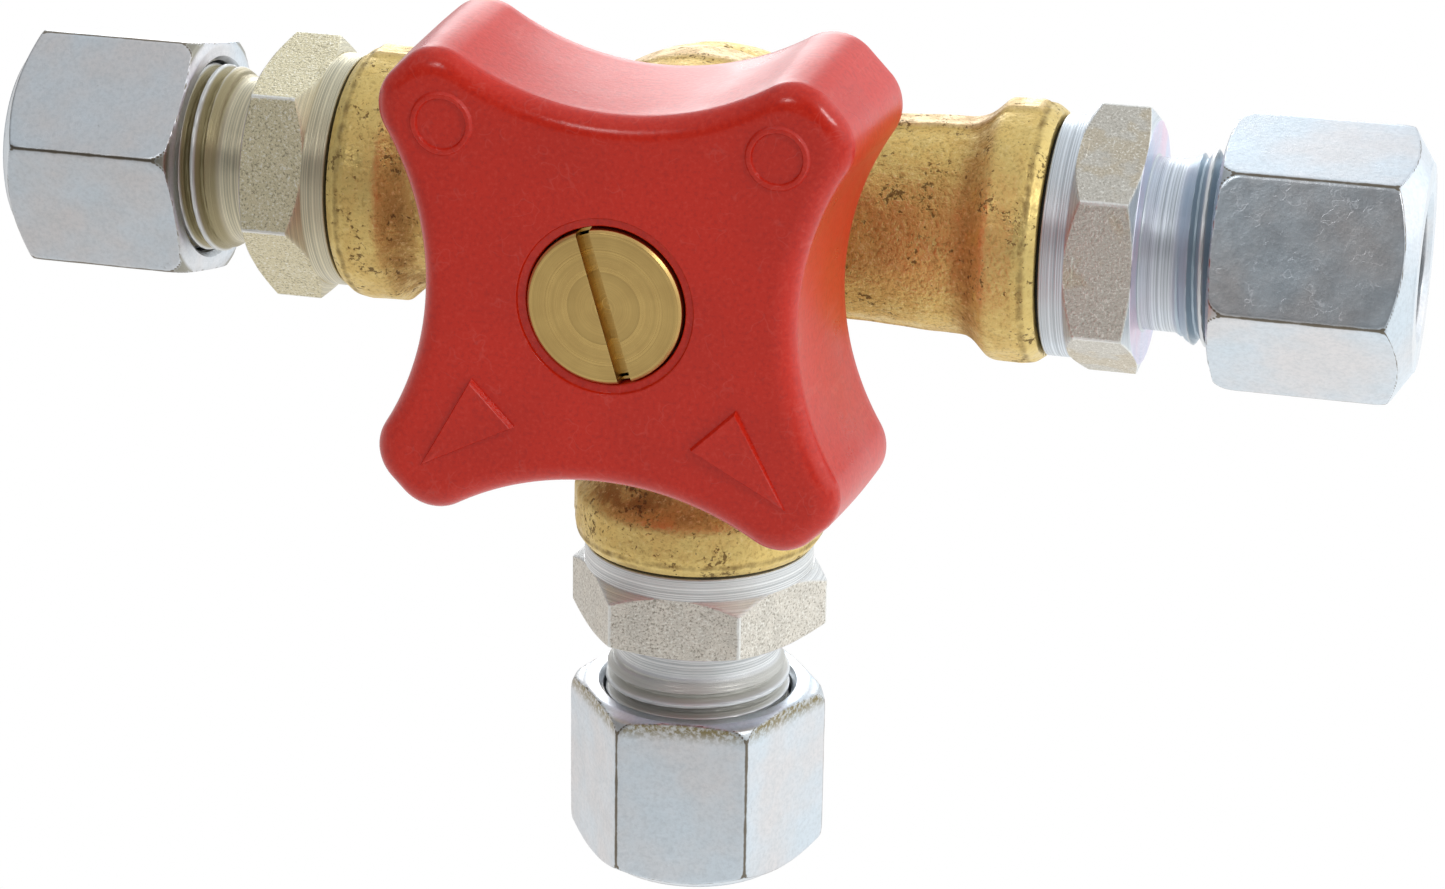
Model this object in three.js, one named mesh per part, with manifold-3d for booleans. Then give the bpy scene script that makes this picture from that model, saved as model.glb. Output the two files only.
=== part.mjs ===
// Three way valve: a brass T body with a rotary selector plug and three cutting ring tube fittings.
// Millimetres, +Z up. The plug turns about the Y axis through the origin, the handle faces -Y,
// the two run ports lie along X and the branch port points down.
import * as THREE from 'three';
import { mergeVertices } from 'three/addons/utils/BufferGeometryUtils.js';
import Module from 'manifold-3d';

const wasm = await Module();
wasm.setup();

// ---- driving dimensions -------------------------------------------------------------------
const GAP = 0.3;                 // clearance kept between touching pieces
const DEG = Math.PI / 180;
const FINE = 30;                 // facets round the large turned shapes
const MID = 22;
const FEW = 12;

// brass body
const FACE = 33.45;              // plug axis to the sealing face of each port
const NECK_R_IN = 9.15;          // neck radius beside the barrel
const NECK_R_OUT = 9.75;         // neck radius beside the end collar
const COLLAR_R = 12.0;           // end collar of each arm
const COLLAR_START = 28.0;
const BARREL_R = 14.4;           // barrel round the plug
const BARREL_REAR = 12.5;
const BARREL_FRONT = -13.5;
const CHAMBER_R = 10.3;
const CHAMBER_REAR = 10.0;
const BONNET_SEAT = -10.8;       // step the bonnet screws down to
const BONNET_BORE_R = 11.6;
const PORT_R = 8.6;              // G3/8 female, drawn plain
const PORT_DEPTH = 10.55;
const WAY_R = 5.0;               // waterway from port to seat

// selector plug
const DRUM_R = 10.0;
const DRUM_HALF = 9.6;
const PLUG_WAY_R = 3.6;          // L bore through the plug
const STEM_R = 5.2;
const STEM_END = -16.0;
const SQUARE = 8.0;              // square that drives the handle
const SQUARE_END = -24.0;
const TAPPED_R = 3.2;

// bonnet, seats and seals
const BONNET_R = 11.3;
const BONNET_FRONT = -13.2;
const BONNET_HEX = 17.0;         // across flats
const BONNET_HEX_END = -15.7;
const BONNET_RIM = { rim: 8.2, rise: 0.58 };
const NO_CONE = { rim: 10.5, rise: 0 };
const BONNET_WAY_R = 5.6;
const SEAT_R_OUT = 6.0;
const SEAT_R_IN = 4.0;
const STOP_R = 9.6;              // stop pin pitch radius
const STOP_PIN_R = 1.0;

// handle
const HANDLE_BACK = -16.3;
const HANDLE_FRONT = -32.6;
const WAIST = 17.5;              // centre to the middle of each hollow side, at the back
const TIP = 28.0;                // centre to the flat end of each lobe, at the back
const SIDE_ARC = 26.0;           // radius of the hollow sides
const LOBE_CORNER = 4.2;         // corner radius of a lobe, at the back
const DRAFT = 0.8;               // how much the outline shrinks from back to front
const EDGE_ROUND = 2.8;          // rounding between front and sides
const WALL = 3.0;
const POCKET_DEPTH = 9.5;
const HUB_R = 12.6;
const HANDLE_LASH = 0.9 * DEG;   // the handle sits a little askew on its square
const HEAD_R = 6.85;             // slotted screw
const HEAD_FRONT = -32.9;
const HEAD_BACK = -29.5;
const COUNTERBORE_R = 7.3;
const COUNTERBORE_FLOOR = -28.5;
const SLOT_WIDTH = 1.2;
const SLOT_DEPTH = 1.5;
const SLOT_TURN = 16.4 * DEG;
const MARK_HEIGHT = 0.25;
const RING_PITCH = 21.0;
const RING_R = 2.75;
const ARROW_APEX = 23.6;
const ARROW_BASE = 14.2;
const ARROW_HALF = 2.55;

// tube fittings, positions measured outward from the plug axis
const SEAL_THICK = 0.5;
const FLANGE_R = 11.1;
const HEX_AF = 22.0;
const HEX_START = 36.0;
const HEX_END = 42.2;
const FLANGE_END = 36.8;
const HEX_RIM_IN = { rim: 11.15, rise: 0.72 };
const HEX_RIM_OUT = { rim: 10.9, rise: 0.38 };
const SHANK_R = 7.9;
const THREAD_START = 45.4;
const THREAD_R = 9.0;            // M18 x 1.5, drawn plain
const THREAD_PITCH = 1.5;
const COUPLING_END = 58.0;
const STUD_R = 8.3;
const CONE_R = 7.15;             // mouth of the 24 degree cone
const CONE_HALF = 12 * DEG;
const TUBE_R = 6.1;
const TUBE_STOP = 51.0;
const NUT_START = 48.8;
const NUT_END = 66.9;
const NUT_RIM_IN = { rim: 11.0, rise: 0.8 };
const NUT_RIM_OUT = { rim: 9.2, rise: 0.65 };
const NUT_THREAD_R = 9.3;
const NUT_WAY_R = 6.25;
const NUT_CONE_START = 60.5;
const RING_FRONT = 56.0;
const RING_SHOULDER = 59.3;
const RING_BACK = 63.0;

// ---- helpers ------------------------------------------------------------------------------
function solid(geometry) {
  const g = geometry.clone();
  g.deleteAttribute('normal');
  g.deleteAttribute('uv');
  const merged = mergeVertices(g, 1e-4);
  const vertProperties = new Float32Array(merged.attributes.position.array);
  const triVerts = new Uint32Array(merged.index.array);
  return new wasm.Manifold(new wasm.Mesh({ numProp: 3, vertProperties, triVerts }));
}

function geometryOf(manifold) {
  const m = manifold.getMesh();
  const g = new THREE.BufferGeometry();
  g.setAttribute('position', new THREE.BufferAttribute(new Float32Array(m.vertProperties), 3));
  g.setIndex(new THREE.BufferAttribute(new Uint32Array(m.triVerts), 1));
  const flat = g.toNonIndexed();
  flat.computeVertexNormals();
  return flat;
}

function material(color, roughness, metalness) {
  return new THREE.MeshStandardMaterial({ color, roughness, metalness });
}

function named(name, geometry, mat) {
  const mesh = new THREE.Mesh(geometry, mat);
  mesh.name = name;
  return mesh;
}

// A turned solid about the local Y axis from [radius, height] pairs. The profile is walked
// upward with the solid on its inner side, starting and ending on the axis.
function turned(pairs, segments = FINE) {
  const points = pairs.map(([r, h]) => new THREE.Vector2(r, h));
  return new THREE.LatheGeometry(points, segments);
}

// A turned ring about the local Y axis: the profile closes on itself.
function ring(pairs, segments = MID) {
  const closed = pairs.concat([pairs[0]]);
  return turned(closed, segments);
}

function rod(radius, from, to, segments = MID) {
  return turned([[0, from], [radius, from], [radius, to], [0, to]], segments);
}

function torus(major, minor, height) {
  const g = new THREE.TorusGeometry(major, minor, 5, MID);
  g.rotateX(Math.PI / 2);
  g.translate(0, height, 0);
  return g;
}

// turn local +Y (the turning axis) to face along one of the port directions
function toRight(geometry) {
  return geometry.clone().rotateZ(-Math.PI / 2);
}

function toLeft(geometry) {
  return geometry.clone().rotateZ(Math.PI / 2);
}

function toBranch(geometry) {
  return geometry.clone().rotateX(-Math.PI / 2);
}

// A hexagonal bar about the local Y axis with rounded corners.
function hexBar(acrossFlats, cornerRound, from, to) {
  const shape = new THREE.Shape();
  const apothem = acrossFlats / 2;
  const inner = (apothem - cornerRound) / Math.cos(30 * DEG);
  for (let k = 0; k < 6; k += 1) {
    const middle = k * 60 * DEG;
    const cx = inner * Math.cos(middle);
    const cy = inner * Math.sin(middle);
    for (let j = -1; j <= 1; j += 1) {
      const a = middle + j * 30 * DEG;
      const x = cx + cornerRound * Math.cos(a);
      const y = cy + cornerRound * Math.sin(a);
      if (k === 0 && j === -1) shape.moveTo(x, y);
      else shape.lineTo(x, y);
    }
  }
  const g = new THREE.ExtrudeGeometry(shape, { depth: to - from, bevelEnabled: false, steps: 1 });
  g.rotateX(Math.PI / 2);
  g.translate(0, to, 0);
  return g;
}

// A hexagon with cones turned on its ends. Each end gives its rim radius and the cone's height
// per unit of radius.
function chamferedHex(acrossFlats, cornerRound, from, to, first, last) {
  const far = acrossFlats / 2 / Math.cos(30 * DEG) + 0.3;
  const cones = turned([
    [0, from], [first.rim, from], [far, from + (far - first.rim) * first.rise],
    [far, to - (far - last.rim) * last.rise], [last.rim, to], [0, to],
  ], MID + 2);
  return solid(hexBar(acrossFlats, cornerRound, from, to)).intersect(solid(cones));
}

// ---- brass body ---------------------------------------------------------------------------
function bodyArm() {
  return turned([
    [0, 0], [NECK_R_IN, 0], [NECK_R_OUT, COLLAR_START - 2.1], [COLLAR_R - 0.4, COLLAR_START],
    [COLLAR_R, COLLAR_START + 0.6], [COLLAR_R, FACE - 1.7], [COLLAR_R - 0.8, FACE - 0.3],
    [COLLAR_R - 1.0, FACE], [0, FACE],
  ]);
}

function bodyBarrel() {
  return turned([
    [0, BARREL_FRONT], [13.1, BARREL_FRONT], [13.4, BARREL_FRONT + 0.3], [13.5, -9.6],
    [14.2, -4.2], [BARREL_R, 0], [14.2, 4.2], [13.4, 8.0], [12.0, 11.0], [10.2, 12.0],
    [8.2, 12.1], [8.0, BARREL_REAR], [0, BARREL_REAR],
  ], 36);
}

function portCut() {
  return turned([
    [0, 8.5], [SEAT_R_OUT + GAP, 8.5], [SEAT_R_OUT + GAP, 12.9], [WAY_R, 12.9],
    [WAY_R, FACE - PORT_DEPTH - 1.4], [PORT_R, FACE - PORT_DEPTH], [PORT_R, FACE + 1],
    [0, FACE + 1],
  ], MID);
}

function valveBody() {
  let body = solid(bodyBarrel());
  for (const face of [toRight, toLeft, toBranch]) {
    body = body.add(solid(face(bodyArm())));
  }
  const chamber = turned([
    [0, BARREL_FRONT - 1], [BONNET_BORE_R, BARREL_FRONT - 1], [BONNET_BORE_R, BONNET_SEAT],
    [CHAMBER_R, BONNET_SEAT], [CHAMBER_R, CHAMBER_REAR], [0, CHAMBER_REAR],
  ]);
  body = body.subtract(solid(chamber));
  for (const face of [toRight, toLeft, toBranch]) {
    body = body.subtract(solid(face(portCut())));
  }
  return geometryOf(body);
}

// ---- selector plug and what sits round it ---------------------------------------------------
function grooved(radius, floor, centre, half) {
  return [
    [radius, centre - half], [floor, centre - half], [floor, centre + half], [radius, centre + half],
  ];
}

const DRUM_GROOVE = 7.9;
const DRUM_GROOVE_R = 8.9;
const STEM_GROOVES = [-12.0, -14.4];
const STEM_GROOVE_R = 3.9;

function selectorPlug() {
  const drum = turned([
    [0, STEM_END], [STEM_R, STEM_END],
    ...grooved(STEM_R, STEM_GROOVE_R, STEM_GROOVES[1], 0.85),
    ...grooved(STEM_R, STEM_GROOVE_R, STEM_GROOVES[0], 0.85),
    [STEM_R, -DRUM_HALF], [DRUM_R, -DRUM_HALF],
    ...grooved(DRUM_R, DRUM_GROOVE_R, -DRUM_GROOVE, 0.75),
    ...grooved(DRUM_R, DRUM_GROOVE_R, DRUM_GROOVE, 0.75),
    [DRUM_R, DRUM_HALF], [0, DRUM_HALF],
  ], 28);
  const square = new THREE.BoxGeometry(SQUARE, STEM_END + 0.5 - SQUARE_END, SQUARE);
  square.translate(0, (STEM_END + 0.5 + SQUARE_END) / 2, 0);
  let plug = solid(drum).add(solid(square));
  for (const turn of [135, 225]) {
    const way = rod(PLUG_WAY_R, 0, DRUM_R + 2, 16);
    way.rotateZ(-Math.PI / 2);
    way.rotateY(-(turn - 270) * DEG + Math.PI / 2);
    plug = plug.subtract(solid(way));
  }
  plug = plug.subtract(solid(new THREE.SphereGeometry(PLUG_WAY_R, 16, 8)));
  plug = plug.subtract(solid(rod(TAPPED_R, SQUARE_END - 1, -12.6, FEW)));
  return geometryOf(plug);
}

function bonnet() {
  const plate = turned([
    [0, BONNET_FRONT - 0.2], [BONNET_R - 0.4, BONNET_FRONT - 0.2], [BONNET_R, BONNET_FRONT + 0.2],
    [BONNET_R, BONNET_SEAT - GAP], [0, BONNET_SEAT - GAP],
  ], FINE);
  let cap = solid(plate);
  const hex = chamferedHex(BONNET_HEX, 0.5, BONNET_HEX_END, BONNET_FRONT, BONNET_RIM, NO_CONE);
  cap = cap.add(hex);
  cap = cap.subtract(solid(rod(BONNET_WAY_R, BONNET_HEX_END - 1, 0, MID)));
  const pinHole = rod(STOP_PIN_R + GAP, -20, -12.0, FEW);
  pinHole.translate(0, 0, STOP_R);
  cap = cap.subtract(solid(pinHole));
  return geometryOf(cap);
}

function seat() {
  const blank = ring([
    [SEAT_R_IN, 8.6], [SEAT_R_OUT, 8.6], [SEAT_R_OUT, 12.6], [SEAT_R_IN, 12.6],
  ], MID);
  const drumClear = rod(DRUM_R + 0.3, -20, 20, 48);
  return { blank, drumClear };
}

function seatFor(face) {
  const { blank, drumClear } = seat();
  return geometryOf(solid(face(blank)).subtract(solid(drumClear)));
}

// ---- handle ---------------------------------------------------------------------------------
// Outline of the handle pulled in by d: hollow sides as arcs, lobes with two rounded corners.
function handleOutline(d) {
  const waist = WAIST - d;
  const tip = TIP - d;
  const arc = SIDE_ARC + d;
  const corner = LOBE_CORNER - d;
  const far = waist + arc;
  const a = tip - corner;
  // the corner circle touches the side arc: solve for its offset from the diagonal
  const p = -Math.SQRT2 * far;
  const q = a * a + far * far - Math.SQRT2 * far * a - (arc + corner) * (arc + corner);
  const b = (-p - Math.sqrt(p * p - 4 * q)) / 2;
  const cx = (a - b) / Math.SQRT2;
  const cz = (a + b) / Math.SQRT2;
  const sideAngle = Math.atan2(cx, far - cz);
  const points = [];
  for (let k = 0; k < 4; k += 1) {
    const side = [];
    for (let j = -3; j <= 3; j += 1) {
      const t = sideAngle * (j / 3);
      side.push([arc * Math.sin(-t), far - arc * Math.cos(t)]);
    }
    // two corners of the next lobe, walking anticlockwise seen from -Y
    for (let j = 1; j <= 3; j += 1) {
      const t = -sideAngle + (sideAngle + 45 * DEG) * (j / 3);
      side.push([-cx - corner * Math.sin(t), cz + corner * Math.cos(t)]);
    }
    for (let j = 0; j < 3; j += 1) {
      const t = 45 * DEG + (sideAngle + 45 * DEG) * (j / 3);
      side.push([-cz - corner * Math.sin(t), cx + corner * Math.cos(t)]);
    }
    const turn = k * 90 * DEG;
    for (const [x, z] of side) {
      points.push([
        x * Math.cos(turn) - z * Math.sin(turn),
        x * Math.sin(turn) + z * Math.cos(turn),
      ]);
    }
  }
  return points;
}

// Skin through a stack of outlines, closed at both ends with a fan from the axis.
function lofted(levels) {
  const rows = levels.map(([d, y]) => handleOutline(d).map(([x, z]) => [x, y, z]));
  const count = rows[0].length;
  const position = [];
  for (const row of rows) for (const p of row) position.push(...p);
  const first = position.length / 3;
  position.push(0, levels[0][1], 0);
  position.push(0, levels[levels.length - 1][1], 0);
  const index = [];
  for (let r = 0; r + 1 < rows.length; r += 1) {
    for (let i = 0; i < count; i += 1) {
      const j = (i + 1) % count;
      const a = r * count + i;
      const b = r * count + j;
      index.push(a, b, a + count, b, b + count, a + count);
    }
  }
  for (let i = 0; i < count; i += 1) {
    const j = (i + 1) % count;
    const top = (rows.length - 1) * count;
    index.push(first, j, i);
    index.push(first + 1, top + i, top + j);
  }
  const g = new THREE.BufferGeometry();
  g.setAttribute('position', new THREE.BufferAttribute(new Float32Array(position), 3));
  g.setIndex(index);
  return g;
}

function plate(shape, back, front) {
  const g = new THREE.ExtrudeGeometry(shape, { depth: back - front, bevelEnabled: false, steps: 1 });
  g.rotateX(Math.PI / 2);
  g.translate(0, back, 0);
  return g;
}

function ringMark(angle) {
  const g = ring([
    [RING_R - 0.5, HANDLE_FRONT - MARK_HEIGHT], [RING_R, HANDLE_FRONT - MARK_HEIGHT],
    [RING_R, HANDLE_FRONT + 0.2], [RING_R - 0.5, HANDLE_FRONT + 0.2],
  ], MID);
  g.translate(RING_PITCH * Math.cos(angle), 0, RING_PITCH * Math.sin(angle));
  return g;
}

function arrowMark(angle) {
  const shape = new THREE.Shape();
  const corner = (along, across) => {
    const x = along * Math.cos(angle) - across * Math.sin(angle);
    const z = along * Math.sin(angle) + across * Math.cos(angle);
    return [x, z];
  };
  shape.moveTo(...corner(ARROW_APEX, 0));
  shape.lineTo(...corner(ARROW_BASE, ARROW_HALF));
  shape.lineTo(...corner(ARROW_BASE, -ARROW_HALF));
  shape.closePath();
  return plate(shape, HANDLE_FRONT + 0.2, HANDLE_FRONT - MARK_HEIGHT);
}

function handle() {
  const levels = [[0.35, HANDLE_BACK], [0, HANDLE_BACK - 0.35]];
  levels.push([DRAFT * 0.9, HANDLE_FRONT + EDGE_ROUND]);
  for (const t of [30, 60, 90]) {
    const inset = EDGE_ROUND * (1 - Math.cos(t * DEG));
    levels.push([DRAFT * 0.9 + inset, HANDLE_FRONT + EDGE_ROUND * (1 - Math.sin(t * DEG))]);
  }
  let body = solid(lofted(levels));
  // hollow back with a hub left standing round the square
  const pocket = lofted([[WALL, HANDLE_BACK + 1], [WALL + 0.3, HANDLE_BACK - POCKET_DEPTH]]);
  const hub = rod(HUB_R, HANDLE_FRONT, HANDLE_BACK + 2, FINE);
  body = body.subtract(solid(pocket).subtract(solid(hub)));
  const socketSize = SQUARE + 2 * 0.25;
  const socket = new THREE.BoxGeometry(socketSize, 10, socketSize);
  socket.translate(0, SQUARE_END - GAP + 5, 0);
  body = body.subtract(solid(socket));
  const bore = turned([
    [0, HANDLE_FRONT - 1], [COUNTERBORE_R + 0.6, HANDLE_FRONT - 1],
    [COUNTERBORE_R + 0.5, HANDLE_FRONT], [COUNTERBORE_R, HANDLE_FRONT + 0.5],
    [COUNTERBORE_R, COUNTERBORE_FLOOR],
    [TAPPED_R + 0.2, COUNTERBORE_FLOOR], [TAPPED_R + 0.2, SQUARE_END + 1], [0, SQUARE_END + 1],
  ], FINE);
  body = body.subtract(solid(bore));
  body = body.subtract(solid(stopSlot()));
  for (const angle of [45, 135]) body = body.add(solid(ringMark(angle * DEG)));
  for (const angle of [225, 315]) body = body.add(solid(arrowMark(angle * DEG)));
  return geometryOf(body);
}

// Arc slot in the back of the hub that the stop pin runs in: 45 degrees each way plus the pin.
function stopSlot() {
  const shape = new THREE.Shape();
  const reach = 45 * DEG + HANDLE_LASH + (STOP_PIN_R + GAP) / STOP_R + 1.5 * DEG;
  const inner = STOP_R - STOP_PIN_R - GAP;
  const outer = STOP_R + STOP_PIN_R + GAP;
  const middle = 90 * DEG;
  const steps = 10;
  for (let i = 0; i <= steps; i += 1) {
    const t = middle - reach + 2 * reach * (i / steps);
    if (i === 0) shape.moveTo(outer * Math.cos(t), outer * Math.sin(t));
    else shape.lineTo(outer * Math.cos(t), outer * Math.sin(t));
  }
  for (let i = steps; i >= 0; i -= 1) {
    const t = middle - reach + 2 * reach * (i / steps);
    shape.lineTo(inner * Math.cos(t), inner * Math.sin(t));
  }
  shape.closePath();
  return plate(shape, HANDLE_BACK + 1, HANDLE_BACK - 2.8);
}

function handleScrew() {
  const blank = turned([
    [0, HEAD_FRONT], [HEAD_R - 0.3, HEAD_FRONT], [HEAD_R, HEAD_FRONT + 0.3], [HEAD_R, HEAD_BACK],
    [TAPPED_R - GAP, HEAD_BACK], [TAPPED_R - GAP, -13.0], [0, -13.0],
  ], FINE);
  const slot = new THREE.BoxGeometry(SLOT_WIDTH, 2 * SLOT_DEPTH, 3 * HEAD_R);
  slot.rotateY(-SLOT_TURN);
  slot.translate(0, HEAD_FRONT, 0);
  return geometryOf(solid(blank).subtract(solid(slot)));
}

// ---- tube fitting ---------------------------------------------------------------------------
function coupling(hexTurn) {
  const outer = turned([
    [0, FACE - 10.2], [STUD_R, FACE - 10.2], [STUD_R, FACE - 2.0], [STUD_R - 0.6, FACE - 2.0],
    [STUD_R - 0.6, FACE + SEAL_THICK], [FLANGE_R, FACE + SEAL_THICK], [FLANGE_R, FLANGE_END],
    [SHANK_R, HEX_END - 0.5], [SHANK_R, THREAD_START], [THREAD_R, THREAD_START + 1.1],
    [THREAD_R, COUPLING_END - 0.8], [THREAD_R - 0.8, COUPLING_END], [0, COUPLING_END],
  ], MID + 2);
  const hex = chamferedHex(HEX_AF, 0.55, HEX_START, HEX_END, HEX_RIM_IN, HEX_RIM_OUT);
  const hollow = turned([
    [0, FACE - 11], [WAY_R, FACE - 11], [WAY_R, TUBE_STOP], [TUBE_R, TUBE_STOP],
    [TUBE_R, COUPLING_END - (CONE_R - TUBE_R) / Math.tan(CONE_HALF)],
    [CONE_R, COUPLING_END], [CONE_R, COUPLING_END + 1], [0, COUPLING_END + 1],
  ], MID + 2);
  const g = geometryOf(solid(outer).add(hex).subtract(solid(hollow)));
  g.rotateY(hexTurn);
  return g;
}

function portSeal() {
  return ring([
    [STUD_R - 0.3, FACE + 0.06], [10.5, FACE + 0.06],
    [10.5, FACE + SEAL_THICK - 0.06], [STUD_R - 0.3, FACE + SEAL_THICK - 0.06],
  ]);
}

function cuttingRing() {
  const rise = Math.tan(CONE_HALF);
  return ring([
    [TUBE_R + 0.1, RING_FRONT], [TUBE_R + 0.35, RING_FRONT],
    [TUBE_R + 0.35 + 2.4 * rise, RING_FRONT + 2.4], [TUBE_R + 0.5, RING_SHOULDER],
    [8.0, RING_SHOULDER], [8.0, RING_BACK - 1.4], [6.6, RING_BACK], [TUBE_R + 0.1, RING_BACK],
  ]);
}

function unionNut(hexTurn) {
  const hex = chamferedHex(HEX_AF, 1.3, NUT_START, NUT_END, NUT_RIM_IN, NUT_RIM_OUT);
  const hollow = turned([
    [0, NUT_START - 1], [NUT_THREAD_R, NUT_START - 1], [NUT_THREAD_R, NUT_CONE_START],
    [NUT_WAY_R, NUT_CONE_START + NUT_THREAD_R - NUT_WAY_R], [NUT_WAY_R, NUT_END + 1],
    [0, NUT_END + 1],
  ], MID + 2);
  const g = geometryOf(hex.subtract(solid(hollow)));
  g.rotateY(hexTurn);
  return g;
}

// ---- assembly -------------------------------------------------------------------------------
const brass = () => material(0xc9ae62, 0.48, 0.9);
const turnedBrass = () => material(0xc2ac78, 0.34, 1.0);
const steel = () => material(0xb9b7ae, 0.42, 1.0);
const zinc = () => material(0xc9ccd6, 0.34, 1.0);
const rubber = () => material(0x17171a, 0.62, 0.0);
const white = () => material(0xe9e7df, 0.5, 0.0);
const red = () => material(0xb3261f, 0.28, 0.0);

const valve = new THREE.Group();
valve.name = 'three_way_valve';

valve.add(named('valve_body', valveBody(), brass()));

const seats = new THREE.Group();
seats.name = 'seats';
seats.add(named('seat_right', seatFor(toRight), white()));
seats.add(named('seat_left', seatFor(toLeft), white()));
seats.add(named('seat_branch', seatFor(toBranch), white()));
valve.add(seats);

valve.add(named('bonnet', bonnet(), turnedBrass()));
const pin = rod(STOP_PIN_R, -18.4, -12.2, FEW);
const stopPin = named('stop_pin', pin, steel());
stopPin.position.set(0, 0, STOP_R);
valve.add(stopPin);

const selector = new THREE.Group();
selector.name = 'selector';
selector.add(named('plug', selectorPlug(), turnedBrass()));
selector.add(named('plug_seal_front', torus(9.64, 0.56, -DRUM_GROOVE), rubber()));
selector.add(named('plug_seal_rear', torus(9.64, 0.56, DRUM_GROOVE), rubber()));
selector.add(named('stem_seal_inner', torus(4.78, 0.66, STEM_GROOVES[0]), rubber()));
selector.add(named('stem_seal_outer', torus(4.78, 0.66, STEM_GROOVES[1]), rubber()));
const thrust = ring([[5.5, -10.5], [9.6, -10.5], [9.6, -9.9], [5.5, -9.9]]);
selector.add(named('thrust_washer', thrust, white()));
const grip = named('handle', handle(), red());
grip.rotation.y = HANDLE_LASH;
selector.add(grip);
const washer = ring([[3.4, -29.2], [6.7, -29.2], [6.7, -28.8], [3.4, -28.8]]);
selector.add(named('handle_washer', washer, steel()));
selector.add(named('handle_screw', handleScrew(), turnedBrass()));
valve.add(selector);

// Each fitting is drawn along its local Y axis and turned to face its port.
const fittings = [
  { side: 'right', turn: [0, 0, -Math.PI / 2], hex: 28.65, nut: 10.1 },
  { side: 'left', turn: [0, 0, Math.PI / 2], hex: 45.7, nut: 13.2 },
  { side: 'branch', turn: [-Math.PI / 2, 0, 0], hex: -2.75, nut: -7.25 },
];
for (const { side, turn, hex, nut } of fittings) {
  const group = new THREE.Group();
  group.name = `fitting_${side}`;
  group.rotation.set(...turn);
  group.add(named(`port_seal_${side}`, portSeal(), rubber()));
  group.add(named(`coupling_${side}`, coupling(hex * DEG), steel()));
  group.add(named(`cutting_ring_${side}`, cuttingRing(), zinc()));
  group.add(named(`union_nut_${side}`, unionNut(nut * DEG), zinc()));
  valve.add(group);
}

export default valve;
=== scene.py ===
"""Three way selector valve: forged brass tee, red cross handle, three tube fittings."""

import math

import bpy
import numpy as np
from mathutils import Matrix, Vector


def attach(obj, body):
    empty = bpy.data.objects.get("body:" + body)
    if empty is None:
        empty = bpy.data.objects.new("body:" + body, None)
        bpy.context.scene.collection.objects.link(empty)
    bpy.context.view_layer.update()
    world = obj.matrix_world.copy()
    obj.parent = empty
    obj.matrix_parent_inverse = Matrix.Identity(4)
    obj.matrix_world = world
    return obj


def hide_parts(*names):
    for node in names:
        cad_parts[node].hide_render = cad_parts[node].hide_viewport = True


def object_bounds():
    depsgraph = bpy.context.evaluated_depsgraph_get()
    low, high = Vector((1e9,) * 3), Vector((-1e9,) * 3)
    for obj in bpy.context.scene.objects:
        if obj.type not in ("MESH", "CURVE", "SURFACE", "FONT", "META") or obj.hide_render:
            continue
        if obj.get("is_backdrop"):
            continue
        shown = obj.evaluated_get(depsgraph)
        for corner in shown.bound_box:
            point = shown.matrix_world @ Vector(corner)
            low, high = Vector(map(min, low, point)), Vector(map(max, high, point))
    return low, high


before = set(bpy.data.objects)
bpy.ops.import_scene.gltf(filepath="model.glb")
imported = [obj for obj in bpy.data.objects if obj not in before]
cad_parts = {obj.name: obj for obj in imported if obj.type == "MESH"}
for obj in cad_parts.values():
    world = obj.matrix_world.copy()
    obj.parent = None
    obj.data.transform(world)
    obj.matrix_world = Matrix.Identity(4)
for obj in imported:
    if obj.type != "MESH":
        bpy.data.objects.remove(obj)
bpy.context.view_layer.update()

bl_info = {
    "name": "Three way valve",
    "version": (1, 0, 0),
    "blender": (4, 5, 0),
    "location": "3D View > Sidebar > Valve",
    "description": "Builds the finished surfaces of a three way selector valve on its frame",
    "category": "Add Mesh",
}

MM = 0.001
SIDES = ("right", "left", "branch")
# hand of the angle round each port, and the angle in degrees where its thread crest starts
SIDE_HAND = {"right": 1.0, "left": -1.0, "branch": -1.0}
SIDE_FRONT = {"right": 158.8, "left": 158.8, "branch": -75.3}
# turn of each hexagon about its port, in degrees
COUPLING_TURN = {"right": 28.65, "left": 14.3, "branch": 2.75}
NUT_TURN = {"right": 10.1, "left": 46.8, "branch": 7.25}
# value that tells the three fittings' finishes apart
TONE = {"branch": 0.0, "left": 0.5, "right": 1.0}
# places along a port and radii, in millimetres from the plug axis and the port's own axis
NECK_END = 22.6
WATERWAY = 5.0
PORT_BORE = 8.75
BARREL_CROWN = 14.4
HEX_START, HEX_END = 36.05, 42.2
HEX_CORNER = 12.4
THREAD_START = 45.3
NUT_START, NUT_END = 48.8, 66.9


def paint(red, green, blue):
    """A linear colour from 0 to 255 display values."""
    shares = np.array((red, green, blue)) / 255.0
    linear = np.where(shares <= 0.04045, shares / 12.92, ((shares + 0.055) / 1.055) ** 2.4)
    return (float(linear[0]), float(linear[1]), float(linear[2]))


# ---- sizes and colours a user would change --------------------------------------------------

def length(name, description, default):
    """A size in metres."""
    return bpy.props.FloatProperty(name=name, description=description, default=default,
                                   unit="LENGTH", precision=5)


def slant(name, description, degrees):
    """An angle, with its default in degrees."""
    return bpy.props.FloatProperty(name=name, description=description,
                                   default=math.radians(degrees), subtype="ANGLE")


def shade_of(name, description, *display):
    """A colour, with its default in display values."""
    return bpy.props.FloatVectorProperty(name=name, description=description, subtype="COLOR",
                                         size=3, min=0.0, max=1.0, default=paint(*display))


def gloss(description, default):
    """A roughness."""
    return bpy.props.FloatProperty(name="Roughness", description=description,
                                   subtype="FACTOR", default=default, min=0.05, max=1.0)


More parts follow.
